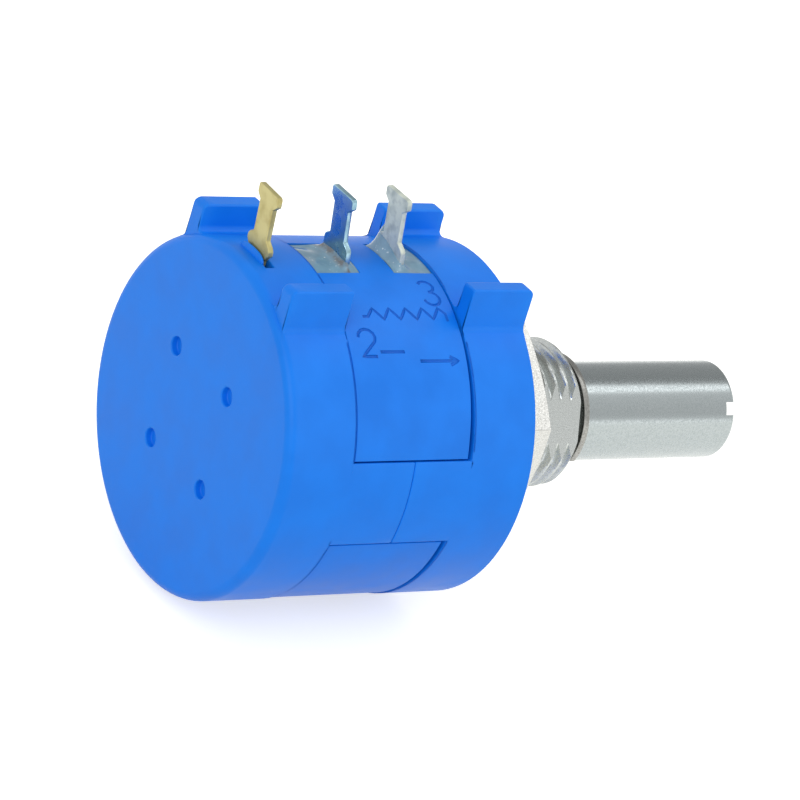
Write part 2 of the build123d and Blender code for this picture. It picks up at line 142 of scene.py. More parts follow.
# Two grey cards, shaded from one long edge to the other, stand beyond the part, where only polished metal
# sees them, and give the round metal its bands. toward is the way that each lies from the part.
card_distance = 0.6
for card_name, toward, across, tall, shades in (
        ("card_behind", (0.573, 0.537, 0.618), 0.7, 0.75, (0.62, 0.34)),
        ("card_in_front", (0.573, -0.641, 0.51), 0.7, 0.57, (0.94, 0.76))):
    card_mesh = bpy.data.meshes.new(card_name)
    card_mesh.from_pydata([(x * across / 2, y * tall / 2, 0) for x, y in square], [], [(0, 1, 2, 3)])
    card_paper = bpy.data.materials.new(card_name + "_paper")
    card_paper.use_nodes = True
    card_paper.node_tree.nodes.clear()
    spot = add(card_paper.node_tree, "ShaderNodeTexCoord", {}, {}).outputs["Object"]
    height = add(card_paper.node_tree, "ShaderNodeSeparateXYZ", {}, {0: spot}).outputs["Y"]
    shade = add(card_paper.node_tree, "ShaderNodeMapRange", {},
                {0: height, 1: -tall / 2, 2: tall / 2, 3: shades[0], 4: shades[1]}).outputs[0]
    lit = add(card_paper.node_tree, "ShaderNodeEmission", {}, {"Color": linear("FFFFFF"), "Strength": shade})
    add(card_paper.node_tree, "ShaderNodeOutputMaterial", {}, {"Surface": lit.outputs[0]})
    card_mesh.materials.append(card_paper)
    card = bpy.data.objects.new(card_name, card_mesh)
    scene.collection.objects.link(card)
    back = -Vector(toward).normalized()
    along = (Vector((1, 0, 0)) - back * back.x).normalized()
    frame_axes = Matrix((along, back.cross(along), back)).transposed().to_4x4()
    card.matrix_world = Matrix.Translation(-back * card_distance) @ frame_axes
    card.visible_camera = card.visible_diffuse = card.visible_shadow = False
    card.visible_transmission = card.visible_volume_scatter = False

# ---- Rear cover: the cup that closes the back, one moulding in blue glass-filled plastic with a rounded rear
# edge, two guard ears, four blind recesses and a slot for the rear terminal. It is pressed on over the sleeve
# and meets the front cover at the middle of the side webs.
body_radius, cover_bore, skirt_step = 11.1125, 10.0125, 3.0
rear_face, rear_inside, window_rear, seam = -18.85, -17.8, -14.1, -9.65
window_half, slot_angle = 75.4, 7.8
# the ears' rounds: edges of their ends, inner root, outer root with the angle where it ends, and top corners
ear_edge, ear_inner_root, ear_outer_root, ear_root_end, ear_corner = 0.1, 0.4, 0.6, 28, 0.15
# on each side of the middle, 1 being towards -Y: the ear's two ends, the rounds of its upper corners there,
# its inner and outer side, and its top
rear_ears = {1: (-18.5, -14.1, 0.4, 0.12, 5.0, 6.2, 11.82), -1: (-18.45, -14.1, 0.45, 0.12, 4.85, 6.1, 11.93)}


def new_object(name, points, faces):
    """Mesh object from points in millimetres, welded, with its faces outwards."""
    mesh = bpy.data.meshes.new(name)
    mesh.from_pydata([[c * 0.001 for c in p] for p in points], [], faces)
    work = bmesh.new()
    work.from_mesh(mesh)
    bmesh.ops.remove_doubles(work, verts=work.verts, dist=1e-7)
    bmesh.ops.delete(work, geom=[v for v in work.verts if not v.link_faces], context="VERTS")
    bmesh.ops.recalc_face_normals(work, faces=work.faces)
    work.to_mesh(mesh)
    work.free()
    made = bpy.data.objects.new(name, mesh)
    scene.collection.objects.link(made)
    return made


def baked(made):
    """Puts the result of the modifiers in the mesh and takes them off."""
    bpy.context.view_layer.update()
    made.data = bpy.data.meshes.new_from_object(made.evaluated_get(bpy.context.evaluated_depsgraph_get()))
    made.modifiers.clear()
    return made


def combined(made, tool, how, crossing=False):
    """Adds, keeps or cuts with another closed mesh, which is then removed. crossing is for one that crosses
    itself."""
    step = made.modifiers.new("cut", "BOOLEAN")
    step.operation, step.object, step.solver = how, tool, "EXACT"
    step.use_self = step.use_hole_tolerant = crossing
    baked(made)
    bpy.data.objects.remove(tool)
    return made


def softened(made, width, angle=35, segments=3, skip=None):
    """Small rounds on the sharp edges, but for those whose middle skip() says to leave, with flat faces
    kept flat."""
    work = bmesh.new()
    work.from_mesh(made.data)
    layers, layer_name = work.edges.layers.float, "bevel_weight_edge"
    weight = layers.get(layer_name) or layers.new(layer_name)
    for edge in work.edges:
        turned = len(edge.link_faces) == 2 and edge.calc_face_angle(0) > math.radians(angle)
        middle = (edge.verts[0].co + edge.verts[1].co) * 500
        edge[weight] = 1.0 if turned and not (skip and skip(middle)) else 0.0
    work.to_mesh(made.data)
    work.free()
    step = made.modifiers.new("round", "BEVEL")
    step.width, step.segments = width * 0.001, segments
    step.limit_method, step.use_clamp_overlap = "WEIGHT", False
    baked(made)
    made.data.polygons.foreach_set("use_smooth", [True] * len(made.data.polygons))
    made.data.set_sharp_from_angle(angle=math.radians(40))
    step = made.modifiers.new("flat faces", "WEIGHTED_NORMAL")
    step.keep_sharp = True
    return baked(made)


def at(x, radius, angle):
    """Point at an angle about the shaft axis, measured from +Z towards -Y."""
    return (x, -radius * math.sin(math.radians(angle)), radius * math.cos(math.radians(angle)))


def ear_outline(inner, outer, top, drawn):
    """Outer edge of one ear's cross-section, from the middle outwards: roots, sides and rounded top. drawn
    is how far its sides and top are drawn in, for the rounded edges at its ends."""
    near, far, high = inner + drawn, outer - drawn, top - drawn
    points = []
    root, corner = ear_inner_root, ear_corner
    low = math.sqrt(body_radius ** 2 - (inner - root) ** 2)
    for k in range(5):      # inner root
        turn = math.radians(90 * k / 4)
        points.append((near - root + root * math.sin(turn), low + root - root * math.cos(turn)))
    for k in range(4):      # inner corner of the top
        turn = math.radians(90 * k / 3)
        points.append((near + corner * (1 - math.cos(turn)), high - corner * (1 - math.sin(turn))))
    for k in range(4):      # outer corner of the top
        turn = math.radians(90 * k / 3)
        points.append((far - corner * (1 - math.sin(turn)), high - corner * (1 - math.cos(turn))))
    root, reach = ear_outer_root, 0.318
    low = math.sqrt(body_radius ** 2 - (outer + reach) ** 2) + 0.02
    for k in range(6):      # outer root, which stops where the round shell falls away under it
        turn = math.radians(90 - (90 - ear_root_end) * k / 5)
        rise = root * (math.cos(math.radians(ear_root_end)) - math.cos(turn))
        points.append((far + root * (1 - math.sin(turn)), low + rise))
    return points


def skirt_columns(ears):
    """Columns round the skirt: angle on the plain skirt, and the place in an ear's outline and its side, if
    any. An ear's columns stand right under its outline, so that its end faces don't fold."""
    under = []
    for side, ear in ears.items():
        outline = ear_outline(*ear[4:], 0)
        under += [(round(side * math.degrees(math.asin(y / body_radius)), 5) % 360, place, side)
                  for place, (y, z) in enumerate(outline)]
    fixed = [0, slot_angle, window_half, 180 - window_half]
    fixed += [180 + window_half, 360 - window_half, 360 - slot_angle]
    plain = list(fixed)
    for low, high in zip(fixed, fixed[1:] + [360]):
        count = max(1, round((high - low) / skirt_step))
        plain += [low + (high - low) * k / count for k in range(1, count)]
    plain = [a for a in plain if not any(
        min(c[0] for c in under if c[2] == side) - 1 < a < max(c[0] for c in under if c[2] == side) + 1
        for side in ears)]
    return sorted([(a, None, 0) for a in plain] + under, key=lambda c: (c[0], c[2] * (c[1] or 0)))


def skirt_point(x, radius, column, ears):
    """Point of the outer skin. ears holds the cross-section of the ear on each side at this place, if one
    stands."""
    angle, place, side = column
    if place is None or not ears or ears.get(side) is None:
        return at(x, radius, angle)
    inner, outer, top, drawn, full_top = ears[side]
    y, z = ear_outline(inner, outer, full_top, drawn)[place]
    level = 10.45      # the ear's roots stay below this as its top comes down
    if z > level:
        z = level + (z - level) * (top - level) / (full_top - level)
    return (x, -side * y, z)


def ear_at(ear, x):
    """Cross-section of an ear at a place along it: its upper corners and the edges of its end faces are
    rounded."""
    low, high, low_round, high_round, inner, outer, top = ear
    height, drawn = top, 0.0
    for away, corner in ((x - low, low_round), (high - x, high_round)):
        if away < corner:
            height = min(height, top - corner + math.sqrt(max(0.0, corner ** 2 - (corner - away) ** 2)))
        if away < ear_edge:
            drawn = max(drawn, ear_edge - math.sqrt(max(0.0, ear_edge ** 2 - (ear_edge - away) ** 2)))
    return inner, outer, height, drawn, top


def ear_rows(ears, others):
    """Places along a cover, each with the cross-section of the ear that stands there on either side. At an
    ear's ends there are two rows at one place, without it and with it, and order says which comes first."""
    places = [(x, 1) for x in others]
    for low, high, low_round, high_round, *_ in ears.values():
        places += [(low, 0), (high, 3)]
        for end, inward, order, corner in ((low, 1, 1, low_round), (high, -1, 2, high_round)):
            steps = [corner * (1 - math.cos(math.radians(15 * k))) for k in range(7)]
            steps += [ear_edge * (1 - math.cos(math.radians(30 * k))) for k in range(1, 4)]
            places += [(end + inward * step, order) for step in steps]
    rows = []
    for x, order in sorted(set(places)):
        standing = {}
        for side, ear in ears.items():
            begun = ear[0] < x or (ear[0] == x and order > 0)
            ended = ear[1] < x or (ear[1] == x and order == 3)
            standing[side] = ear_at(ear, x) if begun and not ended else None
        rows.append((x, standing))
    return rows


def cup(name, rows, columns, standing, capped):
    """Thin-walled moulding: outer and inner skins of the same rows and columns, joined at every opening.
    A row is (outer x, outer radius, ears, inner x, inner radius)."""
    wide, tall = len(columns), len(rows)
    points = [skirt_point(x, r, c, ears) for x, r, ears, _, _ in rows for c in columns]
    points += [at(x, r, c[0]) for _, _, _, x, r in rows for c in columns]
    skin = wide * tall
    kept = {(i, j) for i in range(tall - 1) for j in range(wide)
            if standing((rows[i][0] + rows[i + 1][0]) / 2,
                        (columns[j][0] + (columns[(j + 1) % wide][0] or 360)) / 2)}
    faces = []
    for i, j in kept:
        a, b = i * wide + j, i * wide + (j + 1) % wide
        c, d = b + wide, a + wide
        faces += [(a, b, c, d), (a + skin, d + skin, c + skin, b + skin)]
        for here, p, q in (((i - 1, j), a, b), ((i + 1, j), c, d), ((i, (j - 1) % wide), d, a),
                           ((i, (j + 1) % wide), b, c)):
            if here not in kept and not (capped and here[0] < 0):
                faces.append((p, p + skin, q + skin, q))
    if capped:
        faces += [tuple(range(wide)), tuple(range(skin, skin + wide))]
    return new_object(name, points, faces)


def in_window(angle):
    """Whether an angle is in one of the two openings, over the terminals and opposite them."""
    return min(abs(angle), abs(angle - 180), abs(angle - 360)) < window_half


def rod_along(name, radius, x1, x2, sides=48):
    """Plain round bar about the shaft axis, used as a cutter."""
    points = [at(x, radius, 360 * k / sides) for x in (x1, x2) for k in range(sides)]
    faces = [(k, (k + 1) % sides, sides + (k + 1) % sides, sides + k) for k in range(sides)]
    return new_object(name, points, faces + [tuple(reversed(range(sides))), tuple(range(sides, 2 * sides))])


rear_round, slot_rear, slot_front = 0.6, -17.47, -16.87
# two rings of the flat rear face, then the rows of its round, the slot, the ears and the skirt
rear_rows = [(rear_face, 8.0, None), (rear_face, 9.6, None)]
places = [rear_face + rear_round * (1 - math.sin(math.radians(90 * k / 8))) for k in range(9)]
places += [slot_rear, slot_front, window_rear + 0.001, -12.6, -11.1, seam]
for x, ears in ear_rows(rear_ears, places):
    short = min(rear_round, max(0.0, rear_face + rear_round - x))
    rear_rows.append((x, body_radius - rear_round + math.sqrt(rear_round ** 2 - short ** 2), ears))


def rear_stands(x, angle):
    """Where the rear cover has a wall: all but the windows and the slot for the rear terminal."""
    if x > window_rear:
        return not in_window(angle)
    return not (slot_rear < x < slot_front and min(angle, 360 - angle) < slot_angle)


rear_cover = cup("rear_cover_moulding",
                 [(x, r, ears, max(x, rear_inside), min(r, cover_bore)) for x, r, ears in rear_rows],
                 skirt_columns(rear_ears), rear_stands, True)
recess_radius, recess_depth, recess_circle = 0.575, 0.45, 4.5
for corner in range(4):
    drill = rod_along("drill", recess_radius, rear_face - 1, rear_face + recess_depth, 32)
    drill.data.transform(Matrix.Translation(Vector(at(0, recess_circle * 0.001, 45 + 90 * corner))))
    combined(rear_cover, drill, "DIFFERENCE")


def on_ear(middle):
    """Whether a place is on an ear, whose own rounds are in its shape."""
    return 3.9 < abs(middle.y) < 6.9 and middle.z > 9.0 and middle.yz.length > 11.0


softened(rear_cover, 0.1, skip=on_ear)

# the real grain is finer, and is drawn this coarse so that it shows
flow_size, plastic_grain = 2.63, 0.111


def moulded_plastic(name, code, shade_code):
    """Moulded thermoplastic: satin, with a slightly uneven gloss, a fine grain, and faint flow mottling."""
    made = bpy.data.materials.new(name)
    made.use_nodes = True
    tree = made.node_tree
    shader = tree.nodes["Principled BSDF"]
    place = add(tree, "ShaderNodeTexCoord", {}, {}).outputs["Object"]
    flow = add(tree, "ShaderNodeTexNoise", {}, {"Vector": place, "Scale": 1000 / flow_size, "Detail": 3.0})
    grain = add(tree, "ShaderNodeTexNoise", {},
                {"Vector": place, "Scale": 1000 / plastic_grain, "Detail": 2.0})
    span = add(tree, "ShaderNodeMapRange", {}, {0: flow.outputs[0], 1: 0.35, 2: 0.68})
    tint = add(tree, "ShaderNodeMix", {"data_type": "RGBA"},
               {0: span.outputs[0], 6: linear(shade_code), 7: linear(code)})
    tree.links.new(tint.outputs[2], shader.inputs["Base Color"])
    gloss = add(tree, "ShaderNodeMapRange", {}, {0: flow.outputs[0], 1: 0.3, 2: 0.7, 3: 0.36, 4: 0.46})
    tree.links.new(gloss.outputs[0], shader.inputs["Roughness"])
    relief = add(tree, "ShaderNodeBump", {},
                 {"Strength": 0.12, "Distance": 0.00002, "Height": grain.outputs[0]})
    tree.links.new(relief.outputs[0], shader.inputs["Normal"])
    shader.inputs["Specular IOR Level"].default_value = 0.2
    return made


def coated(made, finish):
    """Gives a piece one finish all over."""
    made.data.materials.clear()
    made.data.materials.append(finish)


cover_plastic = moulded_plastic("moulded_blue_thermoplastic", "0A7BEA", "0875E2")
coated(rear_cover, cover_plastic)
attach(rear_cover, "housing")
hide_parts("rear_cover")

# The slot's rear edge is upset against the rear terminal with a hot tool, which leaves a low soft lip.
lip_across, lip_steps = 12, 24
lip_x, lip_half, lip_rise, lip_sunk, lip_from, lip_length = -17.53, 0.18, 0.53, 0.12, 1.55, 2.8
lip_points = []
for i in range(lip_steps + 1):
    y = lip_from - lip_length * i / lip_steps
    swell = math.sqrt(max(0.0, 1 - abs(2 * i / lip_steps - 1) ** 4))
    for k in range(lip_across + 1):
        turn = math.pi * k / lip_across
        raised = lip_rise * swell * math.sin(turn)
        lip_points.append((lip_x - lip_half * swell * math.cos(turn), y,
                           math.sqrt(body_radius ** 2 - y * y) - lip_sunk + raised))
lip_row = lip_across + 1
lip_faces = [(a, a + 1, a + lip_row + 1, a + lip_row)
             for i in range(lip_steps) for a in range(i * lip_row, i * lip_row + lip_across)]
lip_faces += [(i * lip_row, (i + 1) * lip_row, (i + 2) * lip_row - 1, (i + 1) * lip_row - 1)
              for i in range(lip_steps)]
slot_lip = new_object("rear_slot_lip", lip_points, lip_faces)
slot_lip.data.polygons.foreach_set("use_smooth", [True] * len(slot_lip.data.polygons))
slot_lip.data.materials.append(cover_plastic)
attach(slot_lip, "housing")

# ---- Front cover: the other half of the shell, in the same plastic, moulded round the bushing's flange. A
# raised round pad carries the mounting face, and two more ears stand beside the front terminal.
rim, pad_radius, bushing_hole, front_inside, window_front = -0.95, 8.75, 4.79, -2.6, -5.5
front_ears = {1: (-5.5, -0.95, 0.12, 0.45, 5.0, 6.15, 11.95), -1: (-5.5, -0.95, 0.12, 0.45, 4.4, 5.5, 12.0)}
# the pad from its hole outwards, the ledge round it, then the rim's round, the ears and the skirt
front_rows = [(0.0, bushing_hole, None), (0.0, 6.5, None), (0.0, pad_radius, None), (rim, pad_radius, None),
              (rim, 9.8, None)]
for x, ears in reversed(ear_rows(front_ears, [window_front - 0.001, -7.0, -8.4, seam + 0.02])):
    short = max(0.0, ear_edge - (rim - x))
    front_rows.append((x, body_radius - ear_edge + math.sqrt(ear_edge ** 2 - short ** 2), ears))


def front_stands(x, angle):
    """Where the front cover has a wall: all but the windows."""
    return x >= window_front or not in_window(angle)


front_cover = cup("front_cover_moulding",
                  [(x, r, ears, min(x, front_inside), min(r, cover_bore)) for x, r, ears in front_rows],
                  skirt_columns(front_ears), front_stands, False)
softened(front_cover, 0.1, skip=on_ear)
coated(front_cover, cover_plastic)
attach(front_cover, "housing")
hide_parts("front_cover")

# ---- Element housing: the blue sleeve inside both covers. Its lands fill the windows almost flush, with
# pockets for the potted terminals, and carry the moulded-in terminal numbers and element symbol.
land_radius = 11.0525


def from_cad(name, node):
    """Welded copy of a CAD piece, with its flat faces whole again."""
    made = bpy.data.objects.new(name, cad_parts[node].data.copy())
    scene.collection.objects.link(made)
    made.data.materials.clear()
    work = bmesh.new()
    work.from_mesh(made.data)
    bmesh.ops.remove_doubles(work, verts=work.verts, dist=2e-7)
    bmesh.ops.dissolve_limit(work, angle_limit=math.radians(0.4), verts=work.verts, edges=work.edges)
    for edge in work.edges:
        edge.smooth = True
    work.to_mesh(made.data)
    work.free()
    return made


element_housing = from_cad("element_housing_moulding", "element_housing")
land_end = -5.85
# the gap to the front cover is narrow at the top and opens down the sides
for spot in element_housing.data.vertices:
    x, y, z = spot.co * 1000
    off = math.degrees(math.atan2(abs(y), abs(z)))
    if abs(x - land_end) < 0.002 and math.hypot(y, z) > 10.2:
        spot.co.x += 0.00001 * (28 - 22 * min(1.0, max(0.0, (off - 20) / 50)))
softened(element_housing, 0.05, segments=2)

groove_radius, bow_step = 0.11, 30


def bow(x, angle, wide, high, start, end):
    """Round stretch of a numeral about its middle, between two directions in degrees: 0 is towards the
    shaft's tip, and 90 is downwards."""
    count = round((end - start) / bow_step)
    turns = [math.radians(start + (end - start) * k / count) for k in range(count + 1)]
    return [(x + wide * math.cos(turn), angle + high * math.sin(turn)) for turn in turns]


# places on the land are (x, angle), in millimetres and degrees
three_x, three_top, three_waist, three_foot = -6.8, 14.1, 18.8, 24.2
two_x, two_top, two_foot, two_wide, two_high = -12.6, 33.0, 42.2, 0.6, 2.8
lead_angle, arrow_tip, arrow_angle, arrow_long, arrow_half = 40.7, -6.3, 43.8, 0.6, 1.4
zigzag_x, zigzag_step, zigzag_top, zigzag_low, zigzag_turns = -11.5, 0.6, 25.4, 29.5, 9
upper, lower = (three_waist - three_top) / 2, (three_foot - three_waist) / 2
strokes = [
    # numeral 3 beside the front terminal's end of the element, from two bows that meet at its waist
    bow(three_x, three_top + upper, 0.52, upper, -150, 90),
    bow(three_x, three_waist + lower, 0.58, lower, -90, 170),
    # numeral 2 beside the wiper: a bow, a slanting stroke and a foot
    bow(two_x, two_top + two_high, two_wide, two_high, -180, 30)
    + [(two_x - 0.55, two_foot), (two_x + 0.5, two_foot)],
    # lead and arrow of the wiper
    [(-11.85, lead_angle), (-10.1, lead_angle)],
    [(-9.1, arrow_angle), (arrow_tip, arrow_angle)],
    [(arrow_tip - arrow_long, arrow_angle - arrow_half), (arrow_tip, arrow_angle),
     (arrow_tip - arrow_long, arrow_angle + arrow_half)],
]
# zigzag of the element, with a lead at each end
zigzag = [(-12.4, 28.4), (-12.0, 28.4)]
zigzag += [(zigzag_x + zigzag_step * k, zigzag_low if k % 2 else zigzag_top) for k in range(zigzag_turns)]
strokes.append(zigzag + [(-6.3, 27.5), (-6.3, 30.3)])
for stroke in strokes:
    path = bpy.data.curves.new("stroke", "CURVE")
    path.dimensions = "3D"
    dense = []
    for (x1, a1), (x2, a2) in zip(stroke, stroke[1:]):
        dense += [(x1 + (x2 - x1) * k / 4, a1 + (a2 - a1) * k / 4) for k in range(4)]
    dense.append(stroke[-1])
    line = path.splines.new("POLY")
    line.points.add(len(dense) - 1)
    for spot, (x, angle) in zip(line.points, dense):
        spot.co = [c * 0.001 for c in at(x, land_radius, angle)] + [1]
    path.bevel_depth, path.bevel_resolution, path.use_fill_caps = groove_radius * 0.001, 2, True
    tube = bpy.data.objects.new("stroke", path)
    scene.collection.objects.link(tube)
    bpy.context.view_layer.update()
    solid = bpy.data.objects.new("stroke_solid", bpy.data.meshes.new_from_object(
        tube.evaluated_get(bpy.context.evaluated_depsgraph_get())))
    scene.collection.objects.link(solid)
    bpy.data.objects.remove(tube)
    work = bmesh.new()
    work.from_mesh(solid.data)
    bmesh.ops.remove_doubles(work, verts=work.verts, dist=1e-7)
    bmesh.ops.recalc_face_normals(work, faces=work.faces)
    work.to_mesh(solid.data)
    work.free()
    combined(element_housing, solid, "DIFFERENCE", True)
# the lands keep the normals of a true cylinder, which the cut marks would disturb
mesh = element_housing.data
mesh.polygons.foreach_set("use_smooth", [True] * len(mesh.polygons))
normals = []
for face in mesh.polygons:
    out = Vector((0, face.center.y, face.center.z)).normalized()
    on_land = face.normal.dot(out) > 0.985 and face.center.yz.length > 0.0109
    for corner in face.loop_indices:
        point = mesh.vertices[mesh.loops[corner].vertex_index].co
        normal = Vector((0, point.y, point.z)).normalized() if on_land else mesh.corner_normals[corner].vector
        normals.append(normal.copy())
mesh.normals_split_custom_set(normals)
land_plastic = moulded_plastic("moulded_blue_sleeve", "0979E8", "0772DE")
# the sunk marks are painted darker: painted shade for the shadow in their grooves, and dust
mark_plastic_dust_and_painted_shade = moulded_plastic("moulded_blue_marks_dust_and_painted_shade", "0668D2", "055EC4")
mesh.materials.clear()
mesh.materials.append(land_plastic)
mesh.materials.append(mark_plastic_dust_and_painted_shade)
# the field that the marks lie in, in millimetres along the axis and degrees round it
marks_rear, marks_front, marks_top, marks_low = -13.6, -6.0, 12.5, 46.5
# faces sunk in the marks get the darker plastic: painted shade, with dust
for face in mesh.polygons:
    x, y, z = face.center * 1000
    sunk = 10.8 < math.hypot(y, z) < land_radius - 0.0185
    if sunk and marks_rear < x < marks_front and marks_top < math.degrees(math.atan2(-y, z)) < marks_low:
        face.material_index = 1
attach(element_housing, "housing")
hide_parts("element_housing")

# ---- Terminals: three waisted solder lugs, blanked from flat strip with slightly rolled edges. The rear
# one is gold plated and the other two are tinned, so the blue housing shows in them. They stand in slots in
# the mouldings and lean back a little.
lug_sheet, lug_foot = 0.35, 1.35
# half of the lug's outline from its foot up, as (half width, height above the sleeve)
lug_half = [(lug_foot, 0.9), (1.22, 1.1), (0.8, 1.38), (0.8, 3.42), (1.2, 3.75), (1.2, 4.22), (1.15, 4.35),
            (1.02, 4.4)]


def lug(name, x, lean, yaw, foot, shoulder):
    """Lug of sheet metal, bent a little where it leaves the housing. shoulder is how far its foot is
    narrower."""
    half = [(lug_foot - shoulder, foot - 11.0), (lug_foot - shoulder, 0.05), (lug_foot, 0.05 + shoulder)]
    half += lug_half
    outline = half + [(-y, z) for y, z in reversed(half)]
    count = len(outline)
    points = [(side * lug_sheet / 2, y, z) for side in (-1, 1) for y, z in outline]
    faces = [tuple(reversed(range(count))), tuple(range(count, 2 * count))]
    faces += [(k, (k + 1) % count, count + (k + 1) % count, count + k) for k in range(count)]
    made = new_object(name, points, faces)
    work = bmesh.new()
    work.from_mesh(made.data)
    bmesh.ops.bisect_plane(work, geom=work.verts[:] + work.edges[:] + work.faces[:], plane_co=(0, 0, 0),
                           plane_no=(0, 0, 1))
    bmesh.ops.recalc_face_normals(work, faces=work.faces)
    for v in work.verts:
        if v.co.z > 1e-6:
            v.co = Matrix.Rotation(math.radians(-lean), 3, "Y") @ v.co
    work.to_mesh(made.data)
    work.free()
    softened(made, 0.05, angle=25, segments=2)
    made.data.transform(Matrix.Translation((x * 0.001, 0, 0.011))
                        @ Matrix.Rotation(math.radians(yaw), 4, "Z"))
    return made


def plated_sheet(name, code, worn_code, rough, blotch_size, bare=1.0):
    """Plated sheet metal: bright and a little wavy from rolling, with duller blotches where flux and
    handling have marked it. blotch_size is in millimetres, and bare is the share that still reflects as
    clean metal."""
    made = bpy.data.materials.new(name)
    made.use_nodes = True
    tree = made.node_tree
    shader = tree.nodes["Principled BSDF"]
    place = add(tree, "ShaderNodeTexCoord", {}, {}).outputs["Object"]
    blotch = add(tree, "ShaderNodeTexNoise", {},
                 {"Vector": place, "Scale": 1000 / blotch_size, "Detail": 4.0})
    span = add(tree, "ShaderNodeMapRange", {}, {0: blotch.outputs[0], 1: 0.45, 2: 0.7})
    tint = add(tree, "ShaderNodeMix", {"data_type": "RGBA"},
               {0: span.outputs[0], 6: linear(code), 7: linear(worn_code)})
    tree.links.new(tint.outputs[2], shader.inputs["Base Color"])
    shader.inputs["Metallic"].default_value = bare
    gloss = add(tree, "ShaderNodeMapRange", {},
                {0: blotch.outputs[0], 1: 0.3, 2: 0.7, 3: rough, 4: rough + 0.18})
    tree.links.new(gloss.outputs[0], shader.inputs["Roughness"])
    relief = add(tree, "ShaderNodeBump", {},
                 {"Strength": 0.25, "Distance": 0.00003, "Height": blotch.outputs[0]})
    tree.links.new(relief.outputs[0], shader.inputs["Normal"])
    return made


gold_plate = plated_sheet("gold_plated_brass", "BDB47C", "A89B62", 0.34, 1.111, 0.7)
bright_tin = plated_sheet("bright_tinned_brass", "A0C2CE", "86A9B8", 0.2, 0.909)
frosted_tin = plated_sheet("frosted_tinned_brass", "D2D9CC", "AEB8B2", 0.4, 0.667, 0.35)
for node, x, lean, yaw, foot, shoulder, metal, slot in (
        ("terminal_1", -11.57, 9.0, 0.0, 9.72, 0.02, bright_tin, "tinned"),
        ("terminal_2", -17.17, 4.75, -2.0, 8.4, 0.55, gold_plate, "gold_lug"),
        ("terminal_3", -7.66, 8.25, 1.7, 9.72, 0.02, frosted_tin, "tinned")):
    piece = lug(node + "_lug", x, lean, yaw, foot, shoulder)
    coated(piece, metal)
    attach(piece, "housing")
    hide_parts(node)

# ---- Potting: clear grey-blue epoxy poured round terminals 1 and 3. It has drawn up the lugs as it wetted
# them, and set glossy, with a few bubbles.
potting_level, pocket_half, pocket_floor = 10.97, 1.87, 9.47


def potting(name, x1, x2, lug_x, web):
    """Pool of compound that fills a pocket and climbs the lug. web is the height of the film that it has left
    between the pocket's far rear corner and the lug."""
    wide, long = 36, 30
    row = wide + 1
    points = []
    for i in range(long + 1):
        x = x1 + (x2 - x1) * i / long
        for j in range(wide + 1):
            y = -pocket_half + 2 * pocket_half * j / wide
            off = math.hypot(max(0, abs(x - lug_x) - 0.2), max(0, abs(y) - 1.3))
            edge = min(x - x1, x2 - x, pocket_half - abs(y))
            level = math.sqrt(max(0.1, potting_level ** 2 - y * y)) - 0.03
            # it climbs the lug, more behind than in front, and thins out within a millimetre
            climb = (0.45 if x < lug_x else 0.3) * math.exp(-off / 0.25) + 0.08 * math.exp(-off / 0.9)
            # slow waves that it set with, which die out at the pocket's walls
            ripple = 0.05 * math.sin(2.3 * x + 1.7 * y) * math.cos(1.9 * y - 0.8 * x)
            # the film, which is highest just behind the lug and falls away to both sides
            near = max(0.0, 1 - abs(x - lug_x + 0.18) / 0.62) * min(1.0, max(0.0, (pocket_half - y) / 0.7))
            climb += web * near ** 1.4 * min(1.0, max(0.0, (y + 1.3) / 2.2)) ** 1.3
            points.append((x, y, level + climb + (ripple - 0.05) * min(1.0, edge / 0.3)))
    top = len(points)
    points += [(x, y, pocket_floor) for x, y, z in points]
    faces = []
    for i in range(long):
        for j in range(wide):
            a = i * row + j
            faces += [(a, a + row, a + row + 1, a + 1),
                      (top + a, top + a + 1, top + a + row + 1, top + a + row)]
    rim = [i * row for i in range(long)] + [long * row + j for j in range(wide)]
    rim += [i * row + wide for i in range(long, 0, -1)] + [j for j in range(wide, 0, -1)]
    faces += [(a, b, top + b, top + a) for a, b in zip(rim, rim[1:] + rim[:1])]
    made = new_object(name, points, faces)
    made.data.polygons.foreach_set("use_smooth", [True] * len(made.data.polygons))
    made.data.set_sharp_from_angle(angle=math.radians(60))
    return made


# Epoxy potting compound: nearly clear, so it takes the blue of the pocket, with pale bubbles and a wet gloss.
cloud_size, bubble_size = 0.909, 0.294
epoxy = bpy.data.materials.new("epoxy_potting")
epoxy.use_nodes = True
tree = epoxy.node_tree
shader = tree.nodes["Principled BSDF"]
place = add(tree, "ShaderNodeTexCoord", {}, {}).outputs["Object"]
cloud = add(tree, "ShaderNodeTexNoise", {}, {"Vector": place, "Scale": 1000 / cloud_size, "Detail": 4.0})
bubbles = add(tree, "ShaderNodeTexVoronoi", {}, {"Vector": place, "Scale": 1000 / bubble_size})
dots = add(tree, "ShaderNodeMapRange", {}, {0: bubbles.outputs["Distance"], 1: 0.12, 2: 0.26, 3: 1.0, 4: 0.0})
gathered = add(tree, "ShaderNodeMapRange", {}, {0: cloud.outputs[0], 1: 0.5, 2: 0.62})
base = add(tree, "ShaderNodeMix", {"data_type": "RGBA"},
           {0: cloud.outputs[0], 6: linear("4E7690"), 7: linear("88ABBD")})
shown = add(tree, "ShaderNodeMath", {"operation": "MULTIPLY"}, {0: dots.outputs[0], 1: gathered.outputs[0]})
flecks = add(tree, "ShaderNodeMix", {"data_type": "RGBA"},
             {0: shown.outputs[0], 6: base.outputs[2], 7: linear("C9D8DC")})
